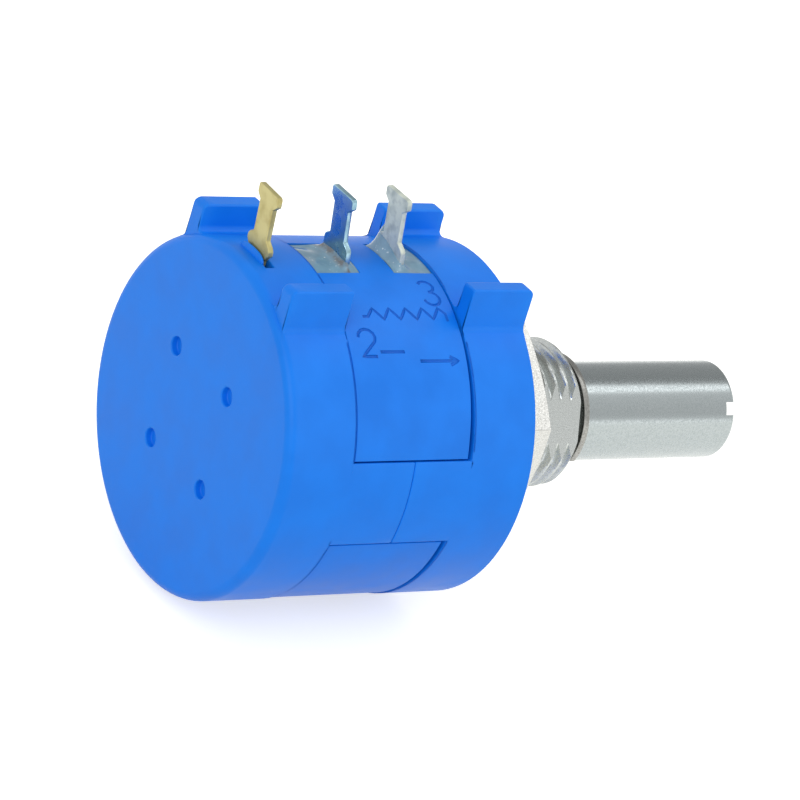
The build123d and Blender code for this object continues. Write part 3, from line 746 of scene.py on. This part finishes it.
# Brown flux has gathered in the compound where it meets terminal 1.
flux_x = -0.0118
axes = add(tree, "ShaderNodeSeparateXYZ", {}, {0: place})
away = add(tree, "ShaderNodeMath", {"operation": "SUBTRACT"}, {0: axes.outputs[0], 1: flux_x})
off = add(tree, "ShaderNodeMath", {"operation": "ABSOLUTE"}, {0: away.outputs[0]})
close = add(tree, "ShaderNodeMapRange", {}, {0: off.outputs[0], 1: 0.00015, 2: 0.0004, 3: 0.75, 4: 0.0})
patchy = add(tree, "ShaderNodeMapRange", {}, {0: cloud.outputs[0], 1: 0.42, 2: 0.58})
flux = add(tree, "ShaderNodeMath", {"operation": "MULTIPLY"}, {0: close.outputs[0], 1: patchy.outputs[0]})
stained = add(tree, "ShaderNodeMix", {"data_type": "RGBA"},
              {0: flux.outputs[0], 6: flecks.outputs[2], 7: linear("5A4A3C")})
tree.links.new(stained.outputs[2], shader.inputs["Base Color"])
shader.inputs["Roughness"].default_value = 0.16
shader.inputs["Coat Weight"].default_value = 0.3
relief = add(tree, "ShaderNodeBump", {}, {"Strength": 0.3, "Distance": 0.00004, "Height": cloud.outputs[0]})
tree.links.new(relief.outputs[0], shader.inputs["Normal"])
for node, x1, x2, lug_x, web in (("terminal_seal_1", -13.99, -10.93, -11.57, 0.0),
                                 ("terminal_seal_3", -8.37, -5.57, -7.66, 1.5)):
    piece = potting(node + "_pool", x1, x2, lug_x, web)
    coated(piece, epoxy)
    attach(piece, "housing")
    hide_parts(node)

# ---- Bushing: turned brass, nickel plated, with a 3/8-32 thread, a milled flat along it and a chamfered end.
# Its six-sided flange is moulded into the front cover.
thread_radius, thread_pitch, thread_depth, bushing_end = 4.7625, 25.4 / 32, 0.42, 7.70
thread_start, thread_chamfer, bushing_bore = -0.9, 0.45, 3.2
flat_start, flat_level, flat_angle = 0.5, 4.13, 70.0
flange_radius, flange_rear, collar_rear, collar_front = 6.9, -1.9, -2.6, -1.5


def sized_tree(name, sizes, counts=()):
    """Empty node tree with a named input for each size and count and for the finish, and those inputs."""
    tree = bpy.data.node_groups.new(name, "GeometryNodeTree")
    kinds = {"NodeSocketFloat": sizes, "NodeSocketInt": counts, "NodeSocketMaterial": ("Finish",)}
    for kind, names in kinds.items():
        for label in names:
            tree.interface.new_socket(label, in_out="INPUT", socket_type=kind)
    tree.interface.new_socket("Geometry", in_out="OUTPUT", socket_type="NodeSocketGeometry")
    return tree, tree.nodes.new("NodeGroupInput").outputs


def ended_tree(tree, geometry, finish):
    """Ends a node tree in real geometry with its finish on."""
    real = add(tree, "GeometryNodeRealizeInstances", {}, {0: geometry})
    done = add(tree, "GeometryNodeSetMaterial", {}, {"Geometry": real.outputs[0], "Material": finish})
    add(tree, "NodeGroupOutput", {}, {0: done.outputs[0]})
    return tree


def thread_tree():
    """Node tree that turns a plain grid, one unit each way, into a threaded tube: its height is the length
    and its width the turn round the axis."""
    tree, given = sized_tree("turned_thread", ("Radius", "Pitch", "Depth", "Start", "End", "Chamfer"))
    long = add(tree, "ShaderNodeMath", {"operation": "SUBTRACT"},
               {0: given["End"], 1: given["Start"]}).outputs[0]
    sheet = add(tree, "GeometryNodeMeshGrid", {},
                {"Size X": 1.0, "Size Y": 1.0, "Vertices X": 140, "Vertices Y": 193})
    place = add(tree, "GeometryNodeInputPosition", {}, {}).outputs[0]
    spot = add(tree, "ShaderNodeSeparateXYZ", {}, {0: place})
    share = add(tree, "ShaderNodeMath", {"operation": "ADD"}, {0: spot.outputs[0], 1: 0.5}).outputs[0]
    x = add(tree, "ShaderNodeMath", {"operation": "MULTIPLY_ADD"},
            {0: share, 1: long, 2: given["Start"]}).outputs[0]
    turn = add(tree, "ShaderNodeMath", {"operation": "MULTIPLY"},
               {0: spot.outputs[1], 1: 2 * math.pi}).outputs[0]
    # distance from the nearest crest, in pitches: 0 at a crest, 0.5 at a root
    along = add(tree, "ShaderNodeMath", {"operation": "DIVIDE"}, {0: x, 1: given["Pitch"]}).outputs[0]
    phase = add(tree, "ShaderNodeMath", {"operation": "SUBTRACT"}, {0: along, 1: spot.outputs[1]}).outputs[0]
    off = add(tree, "ShaderNodeMath", {"operation": "PINGPONG"}, {0: phase, 1: 0.5}).outputs[0]
    # the crest is flat out to 0.07 of a pitch, and the root from 0.42
    flank = add(tree, "ShaderNodeMapRange", {}, {0: off, 1: 0.07, 2: 0.42, 3: 0.0, 4: 1.0}).outputs[0]
    cut = add(tree, "ShaderNodeMath", {"operation": "MULTIPLY"}, {0: flank, 1: given["Depth"]}).outputs[0]
    radius = add(tree, "ShaderNodeMath", {"operation": "SUBTRACT"}, {0: given["Radius"], 1: cut}).outputs[0]
    left = add(tree, "ShaderNodeMath", {"operation": "SUBTRACT"}, {0: given["End"], 1: x}).outputs[0]
    tip = add(tree, "ShaderNodeMath", {"operation": "SUBTRACT"}, {0: given["Radius"], 1: given["Chamfer"]})
    cone = add(tree, "ShaderNodeMath", {"operation": "ADD"}, {0: tip.outputs[0], 1: left}).outputs[0]
    radius = add(tree, "ShaderNodeMath", {"operation": "MINIMUM"}, {0: radius, 1: cone}).outputs[0]
    parts = []
    for way in ("SINE", "COSINE"):
        part = add(tree, "ShaderNodeMath", {"operation": way}, {0: turn}).outputs[0]
        parts.append(add(tree, "ShaderNodeMath", {"operation": "MULTIPLY"}, {0: radius, 1: part}).outputs[0])
    across, up = parts
    back = add(tree, "ShaderNodeMath", {"operation": "MULTIPLY"}, {0: across, 1: -1.0}).outputs[0]
    round_axis = add(tree, "ShaderNodeCombineXYZ", {}, {0: x, 1: back, 2: up}).outputs[0]
    wrapped = add(tree, "GeometryNodeSetPosition", {},
                  {"Geometry": sheet.outputs[0], "Position": round_axis})
    whole = add(tree, "GeometryNodeMergeByDistance", {}, {"Geometry": wrapped.outputs[0], "Distance": 1e-6})
    return ended_tree(tree, whole.outputs[0], given["Finish"])


def grown(name, tree, values):
    """Runs a node tree on an empty mesh with these inputs, and keeps the result as a plain mesh."""
    made = new_object(name, [], [])
    step = made.modifiers.new("grow", "NODES")
    step.node_group = tree
    for item in tree.interface.items_tree:
        if item.in_out == "INPUT" and item.name in values:
            step[item.identifier] = values[item.name]
    return baked(made)


# real crystals are finer, and are drawn this coarse so that they show
tool_line_length, crystal_size = 3.33, 0.111


def turned_metal(name, code, dark_code, rough, line_width, relief_depth):
    """Turned or drawn metal: satin, with tool lines round the axis and small bright and dull crystals.
    line_width is in millimetres, and relief_depth in metres."""
    made = bpy.data.materials.new(name)
    made.use_nodes = True
    tree = made.node_tree
    shader = tree.nodes["Principled BSDF"]
    place = add(tree, "ShaderNodeTexCoord", {}, {}).outputs["Object"]
    line_shape = (1000 / line_width, 1000 / tool_line_length, 1000 / tool_line_length)
    drawn_out = add(tree, "ShaderNodeMapping", {}, {"Vector": place, "Scale": line_shape}).outputs[0]
    lines = add(tree, "ShaderNodeTexNoise", {}, {"Vector": drawn_out, "Scale": 1.0, "Detail": 3.0})
    patch = add(tree, "ShaderNodeTexNoise", {},
                {"Vector": place, "Scale": 1000 / crystal_size, "Detail": 3.0})
    span = add(tree, "ShaderNodeMapRange", {}, {0: patch.outputs[0], 1: 0.38, 2: 0.66})
    tint = add(tree, "ShaderNodeMix", {"data_type": "RGBA"},
               {0: span.outputs[0], 6: linear(code), 7: linear(dark_code)})
    tree.links.new(tint.outputs[2], shader.inputs["Base Color"])
    shader.inputs["Metallic"].default_value = 1.0
    gloss = add(tree, "ShaderNodeMapRange", {},
                {0: patch.outputs[0], 1: 0.3, 2: 0.7, 3: rough - 0.06, 4: rough + 0.1})
    tree.links.new(gloss.outputs[0], shader.inputs["Roughness"])
    height = add(tree, "ShaderNodeMath", {"operation": "ADD"}, {0: lines.outputs[0], 1: patch.outputs[0]})
    relief = add(tree, "ShaderNodeBump", {},
                 {"Strength": 0.5, "Distance": relief_depth, "Height": height.outputs[0]})
    tree.links.new(relief.outputs[0], shader.inputs["Normal"])
    return made


nickel = turned_metal("nickel_plated_brass", "C2C6C4", "B3B7B5", 0.22, 0.0833, 0.000008)
bushing = grown("bushing_turned", thread_tree(),
                {"Radius": thread_radius * 0.001, "Pitch": thread_pitch * 0.001,
                 "Depth": thread_depth * 0.001, "Start": thread_start * 0.001, "End": bushing_end * 0.001,
                 "Chamfer": thread_chamfer * 0.001, "Finish": nickel})
work = bmesh.new()
work.from_mesh(bushing.data)
bmesh.ops.holes_fill(work, edges=[e for e in work.edges if e.is_boundary], sides=0)
bmesh.ops.recalc_face_normals(work, faces=work.faces)
work.to_mesh(bushing.data)
work.free()


def box(name, across_x, across_y, across_z):
    """Plain box between two places along each axis, used as a cutter."""
    points = [(x, y, z) for x in across_x for y in across_y for z in across_z]
    faces = [(0, 1, 3, 2), (4, 6, 7, 5), (0, 4, 5, 1), (2, 3, 7, 6), (0, 2, 6, 4), (1, 5, 7, 3)]
    return new_object(name, points, faces)


flat_tool = box("flat_tool", (flat_start, bushing_end + 1.3), (-6, 6), (flat_level, 7.0))
flat_tool.data.transform(Matrix.Rotation(math.radians(flat_angle), 4, "X"))
combined(bushing, flat_tool, "DIFFERENCE")
flange = rod_along("flange", flange_radius, flange_rear, thread_start, 6)
flange.data.transform(Matrix.Rotation(math.radians(90), 4, "X"))
combined(bushing, flange, "UNION")
combined(bushing, rod_along("rear_collar", thread_radius, collar_rear, collar_front, 96), "UNION")
combined(bushing, rod_along("bore", bushing_bore, collar_rear - 1.4, bushing_end + 1.3, 96), "DIFFERENCE")
bushing.data.polygons.foreach_set("use_smooth", [True] * len(bushing.data.polygons))
bushing.data.set_sharp_from_angle(angle=math.radians(32))
work = bmesh.new()
work.from_mesh(bushing.data)
facing = Vector(at(0, 1, flat_angle))
for edge in work.edges:      # the flat's own outline stays crisp across the cut thread
    if len({face.normal.dot(facing) > 0.9999 for face in edge.link_faces}) == 2:
        edge.smooth = False
work.to_mesh(bushing.data)
work.free()
coated(bushing, nickel)
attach(bushing, "housing")
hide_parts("bushing")

# ---- Mounting nut: half-inch hexagon nut, nickel plated, with a turned chamfer on both faces that scallops
# the corners of its six flats.
nut_x, nut_thick, nut_flats, nut_angle = 1.05, 2.38, 12.7, 9.5
nut_corner = nut_flats / math.sqrt(3)


def turned(name, profile, sides=144):
    """Closed solid of revolution about the shaft axis from (x, radius) points, both ends on the axis."""
    inner = profile[1:-1]
    points = [at(profile[0][0], 0, 0), at(profile[-1][0], 0, 0)]
    points += [at(x, r, 360 * k / sides) for x, r in inner for k in range(sides)]
    faces = []
    for i in range(len(inner) - 1):
        for k in range(sides):
            a, b = 2 + i * sides + k, 2 + i * sides + (k + 1) % sides
            faces.append((a, b, b + sides, a + sides))
    last = 2 + (len(inner) - 1) * sides
    faces += [(0, 2 + (k + 1) % sides, 2 + k) for k in range(sides)]
    faces += [(1, last + k, last + (k + 1) % sides) for k in range(sides)]
    return new_object(name, points, faces)


nut = rod_along("mounting_nut_hexagon", nut_corner, nut_x, nut_x + nut_thick, 6)
nut_end, nut_face, nut_chamfer, nut_bore, nut_mouth = nut_x + nut_thick, nut_flats / 2 - 0.1, 0.32, 4.82, 5.35
chamfered = turned("nut_chamfer", [(nut_x - 0.01, 0), (nut_x - 0.01, nut_face),
                                   (nut_x + nut_chamfer, nut_corner), (nut_end - nut_chamfer, nut_corner),
                                   (nut_end + 0.01, nut_face), (nut_end + 0.01, 0)])
combined(nut, chamfered, "INTERSECT")
hole = turned("nut_hole", [(nut_x - 1, 0), (nut_x - 1, nut_mouth), (nut_x + 0.25, nut_bore),
                           (nut_end - 0.25, nut_bore), (nut_end + 1, nut_mouth), (nut_end + 1, 0)])
combined(nut, hole, "DIFFERENCE")
nut.data.transform(Matrix.Rotation(math.radians(nut_angle), 4, "X"))
softened(nut, 0.05, angle=20, segments=2)
nut_metal = turned_metal("nickel_plated_nut", "D2D2CE", "BEBEBA", 0.26, 0.2, 0.000008)
coated(nut, nut_metal)
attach(nut, "nut")
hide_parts("mounting_nut")

# ---- Shaft: centreless-ground stainless bar with a chamfered end and a driver slot, and a groove for the
# ring. The inner end is stepped down, with a flat that drives the rotor.
shaft_rear, shaft_radius, shaft_tip, tip_round = -17.1, 3.175, 21.22, 0.35
spindle_radius, spindle_end, spindle_flat = 2.5, -2.93, 2.0
groove_rear, groove_front, groove_floor = 8.26, 8.78, 2.7
drive_width, drive_depth, drive_angle = 0.84, 0.8, 61
profile = [(shaft_rear, 0), (shaft_rear, spindle_radius), (spindle_end, spindle_radius),
           (spindle_end, shaft_radius), (groove_rear, shaft_radius), (groove_rear, groove_floor),
           (groove_front, groove_floor), (groove_front, shaft_radius)]
for k in range(7):
    turn = math.radians(15 * k)
    profile.append((shaft_tip - tip_round + tip_round * math.sin(turn),
                    shaft_radius - tip_round + tip_round * math.cos(turn)))
shaft = turned("shaft_bar", profile + [(shaft_tip, 0)], 96)
drive = box("drive_slot", (shaft_tip - drive_depth, shaft_tip + 1),
            (-drive_width / 2, drive_width / 2), (-5, 5))
drive.data.transform(Matrix.Rotation(math.radians(drive_angle), 4, "X"))
combined(shaft, drive, "DIFFERENCE")
combined(shaft, box("spindle_flat", (-18, spindle_end), (-4, 4), (spindle_flat, 4)), "DIFFERENCE")
# the tip has its own round, and the driver slot stays sharp
softened(shaft, 0.05, angle=30, segments=2, skip=lambda middle: middle.x > shaft_tip - 0.9)
stainless = turned_metal("ground_stainless", "AEB5B6", "A1A9AA", 0.22, 0.111, 0.000003)
coated(shaft, stainless)
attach(shaft, "rotor")
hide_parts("shaft")

# ---- Retaining ring: a stamped spring-steel ring snapped into the shaft's groove, just in front of the
# bushing, with a wide opening low on the near side.
ring_rear, ring_front, ring_inner, ring_outer = 8.30, 8.74, 2.74, 3.86
ring_steel = turned_metal("phosphated_spring_steel", "A3A39F", "8A8985", 0.3, 0.25, 0.000006)
disc = [(ring_rear, 0), (ring_rear, ring_outer), (ring_front, ring_outer), (ring_front, 0)]
retaining_ring = turned("retaining_ring_clip", disc, 96)
combined(retaining_ring, rod_along("ring_bore", ring_inner, ring_rear - 1, ring_front + 1, 96), "DIFFERENCE")
# a wedge cuts the opening, from near the axis to past the ring's outside
wedge = [at(x, r, a) for x in (ring_rear - 1, ring_front + 1)
         for r, a in ((1.0, 140), (6.0, 114), (6.0, 166))]
opening = new_object("ring_opening", wedge, [(0, 1, 2), (3, 5, 4), (0, 3, 4, 1), (1, 4, 5, 2), (2, 5, 3, 0)])
combined(retaining_ring, opening, "DIFFERENCE")
softened(retaining_ring, 0.07, segments=2)
coated(retaining_ring, ring_steel)
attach(retaining_ring, "rotor")
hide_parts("retaining_ring")

# ---- Resistance element: fine nickel-alloy wire wound close round an insulated copper mandrel, which is
# then coiled ten turns inside the housing and fixed to its bore. The wiper follows it like a thread.
element_radius, element_start, element_pitch, mandrel_radius = 8.9225, -15.015, 1.0, 0.32
element_turns, element_overrun = 10, 8.0      # the overrun is in degrees, at each end


def coil_tree():
    """Node tree that sweeps a round section along a helix about the shaft axis."""
    tree, given = sized_tree("coiled_mandrel",
                             ("Radius", "Start", "Pitch", "Turns", "Overrun", "Mandrel Radius"), ("Steps",))
    points = add(tree, "GeometryNodeMeshLine", {}, {"Count": given["Steps"]})
    index = add(tree, "GeometryNodeInputIndex", {}, {}).outputs[0]
    last = add(tree, "ShaderNodeMath", {"operation": "SUBTRACT"}, {0: given["Steps"], 1: 1.0}).outputs[0]
    share = add(tree, "ShaderNodeMath", {"operation": "DIVIDE"}, {0: index, 1: last}).outputs[0]
    whole = add(tree, "ShaderNodeMath", {"operation": "MULTIPLY_ADD"},
                {0: given["Overrun"], 1: 2.0, 2: given["Turns"]}).outputs[0]
    reached = add(tree, "ShaderNodeMath", {"operation": "MULTIPLY"}, {0: share, 1: whole}).outputs[0]
    turned_by = add(tree, "ShaderNodeMath", {"operation": "SUBTRACT"},
                    {0: reached, 1: given["Overrun"]}).outputs[0]
    x = add(tree, "ShaderNodeMath", {"operation": "MULTIPLY_ADD"},
            {0: turned_by, 1: given["Pitch"], 2: given["Start"]}).outputs[0]
    angle = add(tree, "ShaderNodeMath", {"operation": "MULTIPLY"}, {0: turned_by, 1: 2 * math.pi}).outputs[0]
    parts = []
    for way in ("SINE", "COSINE"):
        part = add(tree, "ShaderNodeMath", {"operation": way}, {0: angle}).outputs[0]
        parts.append(add(tree, "ShaderNodeMath", {"operation": "MULTIPLY"},
                         {0: given["Radius"], 1: part}).outputs[0])
    place = add(tree, "ShaderNodeCombineXYZ", {}, {0: x, 1: parts[0], 2: parts[1]}).outputs[0]
    placed = add(tree, "GeometryNodeSetPosition", {}, {"Geometry": points.outputs[0], "Position": place})
    path = add(tree, "GeometryNodeMeshToCurve", {}, {0: placed.outputs[0]})
    section = add(tree, "GeometryNodeCurvePrimitiveCircle", {},
                  {"Resolution": 12, "Radius": given["Mandrel Radius"]})
    swept = add(tree, "GeometryNodeCurveToMesh", {},
                {"Curve": path.outputs[0], "Profile Curve": section.outputs[0], "Fill Caps": True})
    return ended_tree(tree, swept.outputs[0], given["Finish"])


# Enamelled resistance wire, wound close: a warm metal with fine ridges across the mandrel, painted darker in
# the valleys between turns as painted shade and lighter on the crests as painted highlight. The real wire is
# about 0.05 mm thick, and is drawn 0.12 mm so that its ridges show.
drawn_wire = 0.12
wound_wire = bpy.data.materials.new("wound_resistance_wire")
wound_wire.use_nodes = True
tree = wound_wire.node_tree
shader = tree.nodes["Principled BSDF"]
axes = add(tree, "ShaderNodeSeparateXYZ", {}, {0: add(tree, "ShaderNodeTexCoord", {}, {}).outputs["Object"]})
around = add(tree, "ShaderNodeMath", {"operation": "ARCTAN2"},
             {0: axes.outputs[1], 1: axes.outputs[2]}).outputs[0]
ridges_a_turn = float(round(2 * math.pi * element_radius / drawn_wire))
phase = add(tree, "ShaderNodeMath", {"operation": "MULTIPLY"}, {0: around, 1: ridges_a_turn}).outputs[0]
ridge = add(tree, "ShaderNodeMath", {"operation": "SINE"}, {0: phase}).outputs[0]
# painted shade in the valleys between turns, painted highlight on the crests
shade = add(tree, "ShaderNodeMapRange", {}, {0: ridge, 1: -1.0, 2: 0.4})
tint = add(tree, "ShaderNodeMix", {"data_type": "RGBA"},
           {0: shade.outputs[0], 6: linear("6E563C"), 7: linear("C9AB83")})
tree.links.new(tint.outputs[2], shader.inputs["Base Color"])
shader.inputs["Metallic"].default_value = 1.0
shader.inputs["Roughness"].default_value = 0.32
relief = add(tree, "ShaderNodeBump", {}, {"Strength": 0.6, "Distance": 0.00003, "Height": ridge})
tree.links.new(relief.outputs[0], shader.inputs["Normal"])
element = grown("resistance_element_coil", coil_tree(),
                {"Radius": element_radius * 0.001, "Start": element_start * 0.001,
                 "Pitch": element_pitch * 0.001, "Turns": float(element_turns),
                 "Overrun": element_overrun / 360, "Mandrel Radius": mandrel_radius * 0.001,
                 "Steps": 600, "Finish": wound_wire})
element.data.polygons.foreach_set("use_smooth", [True] * len(element.data.polygons))
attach(element, "housing")
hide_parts("resistance_element")

# ---- Lock washer: blanked from spring steel and zinc plated, with twelve inward teeth twisted so that
# their edges bite into the panel and the nut.
washer_outer, washer_root, washer_inner, washer_middle, washer_sheet = 6.6, 5.55, 4.8225, 0.5, 0.45
tooth_width, tooth_twist, tooth_count = 1.3, 27, 12      # the twist is in degrees


def toothed_tree():
    """Node tree for a flat ring with twisted teeth round its inside."""
    tree, given = sized_tree("toothed_ring", ("Outer", "Root", "Inner", "Sheet", "Tooth Width", "Twist"),
                             ("Teeth",))
    both = add(tree, "ShaderNodeMath", {"operation": "ADD"}, {0: given["Outer"], 1: given["Root"]}).outputs[0]
    middle = add(tree, "ShaderNodeMath", {"operation": "MULTIPLY"}, {0: both, 1: 0.5}).outputs[0]
    band = add(tree, "ShaderNodeMath", {"operation": "SUBTRACT"},
               {0: given["Outer"], 1: given["Root"]}).outputs[0]
    ring = add(tree, "GeometryNodeCurvePrimitiveCircle", {}, {"Resolution": 96, "Radius": middle})
    section = add(tree, "GeometryNodeCurvePrimitiveQuadrilateral", {},
                  {"Width": band, "Height": given["Sheet"]})
    rim = add(tree, "GeometryNodeCurveToMesh", {},
              {"Curve": ring.outputs[0], "Profile Curve": section.outputs[0]})
    length = add(tree, "ShaderNodeMath", {"operation": "SUBTRACT"},
                 {0: middle, 1: given["Inner"]}).outputs[0]
    size = add(tree, "ShaderNodeCombineXYZ", {},
               {0: length, 1: given["Tooth Width"], 2: given["Sheet"]}).outputs[0]
    tooth = add(tree, "GeometryNodeMeshCube", {}, {"Size": size, "Vertices X": 4})
    twist = add(tree, "ShaderNodeCombineXYZ", {}, {0: given["Twist"]}).outputs[0]
    twisted = add(tree, "GeometryNodeTransform", {}, {"Geometry": tooth.outputs[0], "Rotation": twist})
    reach = add(tree, "ShaderNodeMath", {"operation": "MULTIPLY_ADD"},
                {0: length, 1: 0.5, 2: given["Inner"]}).outputs[0]
    stand = add(tree, "GeometryNodeMeshCircle", {}, {"Vertices": given["Teeth"], "Radius": reach})
    index = add(tree, "GeometryNodeInputIndex", {}, {}).outputs[0]
    step = add(tree, "ShaderNodeMath", {"operation": "DIVIDE"},
               {0: 2 * math.pi, 1: given["Teeth"]}).outputs[0]
    turn = add(tree, "ShaderNodeMath", {"operation": "MULTIPLY"}, {0: index, 1: step}).outputs[0]
    facing = add(tree, "ShaderNodeCombineXYZ", {}, {2: turn}).outputs[0]
    teeth = add(tree, "GeometryNodeInstanceOnPoints", {},
                {"Points": stand.outputs[0], "Instance": twisted.outputs[0], "Rotation": facing})
    joined = tree.nodes.new("GeometryNodeJoinGeometry")
    tree.links.new(rim.outputs[0], joined.inputs[0])
    tree.links.new(teeth.outputs[0], joined.inputs[0])
    return ended_tree(tree, joined.outputs[0], given["Finish"])


washer_steel = turned_metal("zinc_plated_spring_steel", "B4B4B0", "A2A29E", 0.3, 0.25, 0.000008)
lock_washer = grown("lock_washer_toothed", toothed_tree(),
                    {"Outer": washer_outer * 0.001, "Root": washer_root * 0.001,
                     "Inner": washer_inner * 0.001, "Sheet": washer_sheet * 0.001,
                     "Tooth Width": tooth_width * 0.001, "Twist": math.radians(tooth_twist),
                     "Teeth": tooth_count, "Finish": washer_steel})
lock_washer.data.transform(Matrix.Translation((washer_middle * 0.001, 0, 0))
                           @ Matrix.Rotation(math.radians(90), 4, "Y"))
softened(lock_washer, 0.04, segments=2)
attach(lock_washer, "washer")
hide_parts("lock_washer")

# ---- Everything else keeps its CAD shape: the blanked rings and strips, the drawn rods, and the moulded
# parts that turn and slide inside the housing. Each gets its own finish.
rod_steel = turned_metal("drawn_steel_rod", "C0BFBB", "A3A29E", 0.2, 0.5, 0.000005)
ring_metal = plated_sheet("precious_metal_alloy", "D6C9A6", "B5A27A", 0.22, 0.667)
tap_metal = plated_sheet("nickel_alloy_strip", "C4BFB4", "9B9588", 0.3, 0.667)
rotor_plastic = moulded_plastic("moulded_rotor_plastic", "383A3E", "303236")
carriage_plastic = moulded_plastic("moulded_carriage_plastic", "E6E1D4", "DAD5C8")
thrust_plastic = moulded_plastic("acetal_thrust_washer", "F0EEE6", "E4E2DA")
finishes = {"collector_rod": rod_steel, "guide_rail": rod_steel, "slip_ring": ring_metal,
            "wiper_contact": ring_metal, "start_tap": tap_metal, "end_tap": tap_metal,
            "slip_ring_brush": tap_metal, "rotor_hub": rotor_plastic, "wiper_carriage": carriage_plastic,
            "thrust_washer": thrust_plastic}
for node, finish in finishes.items():
    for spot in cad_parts[node].material_slots:
        spot.material = finish
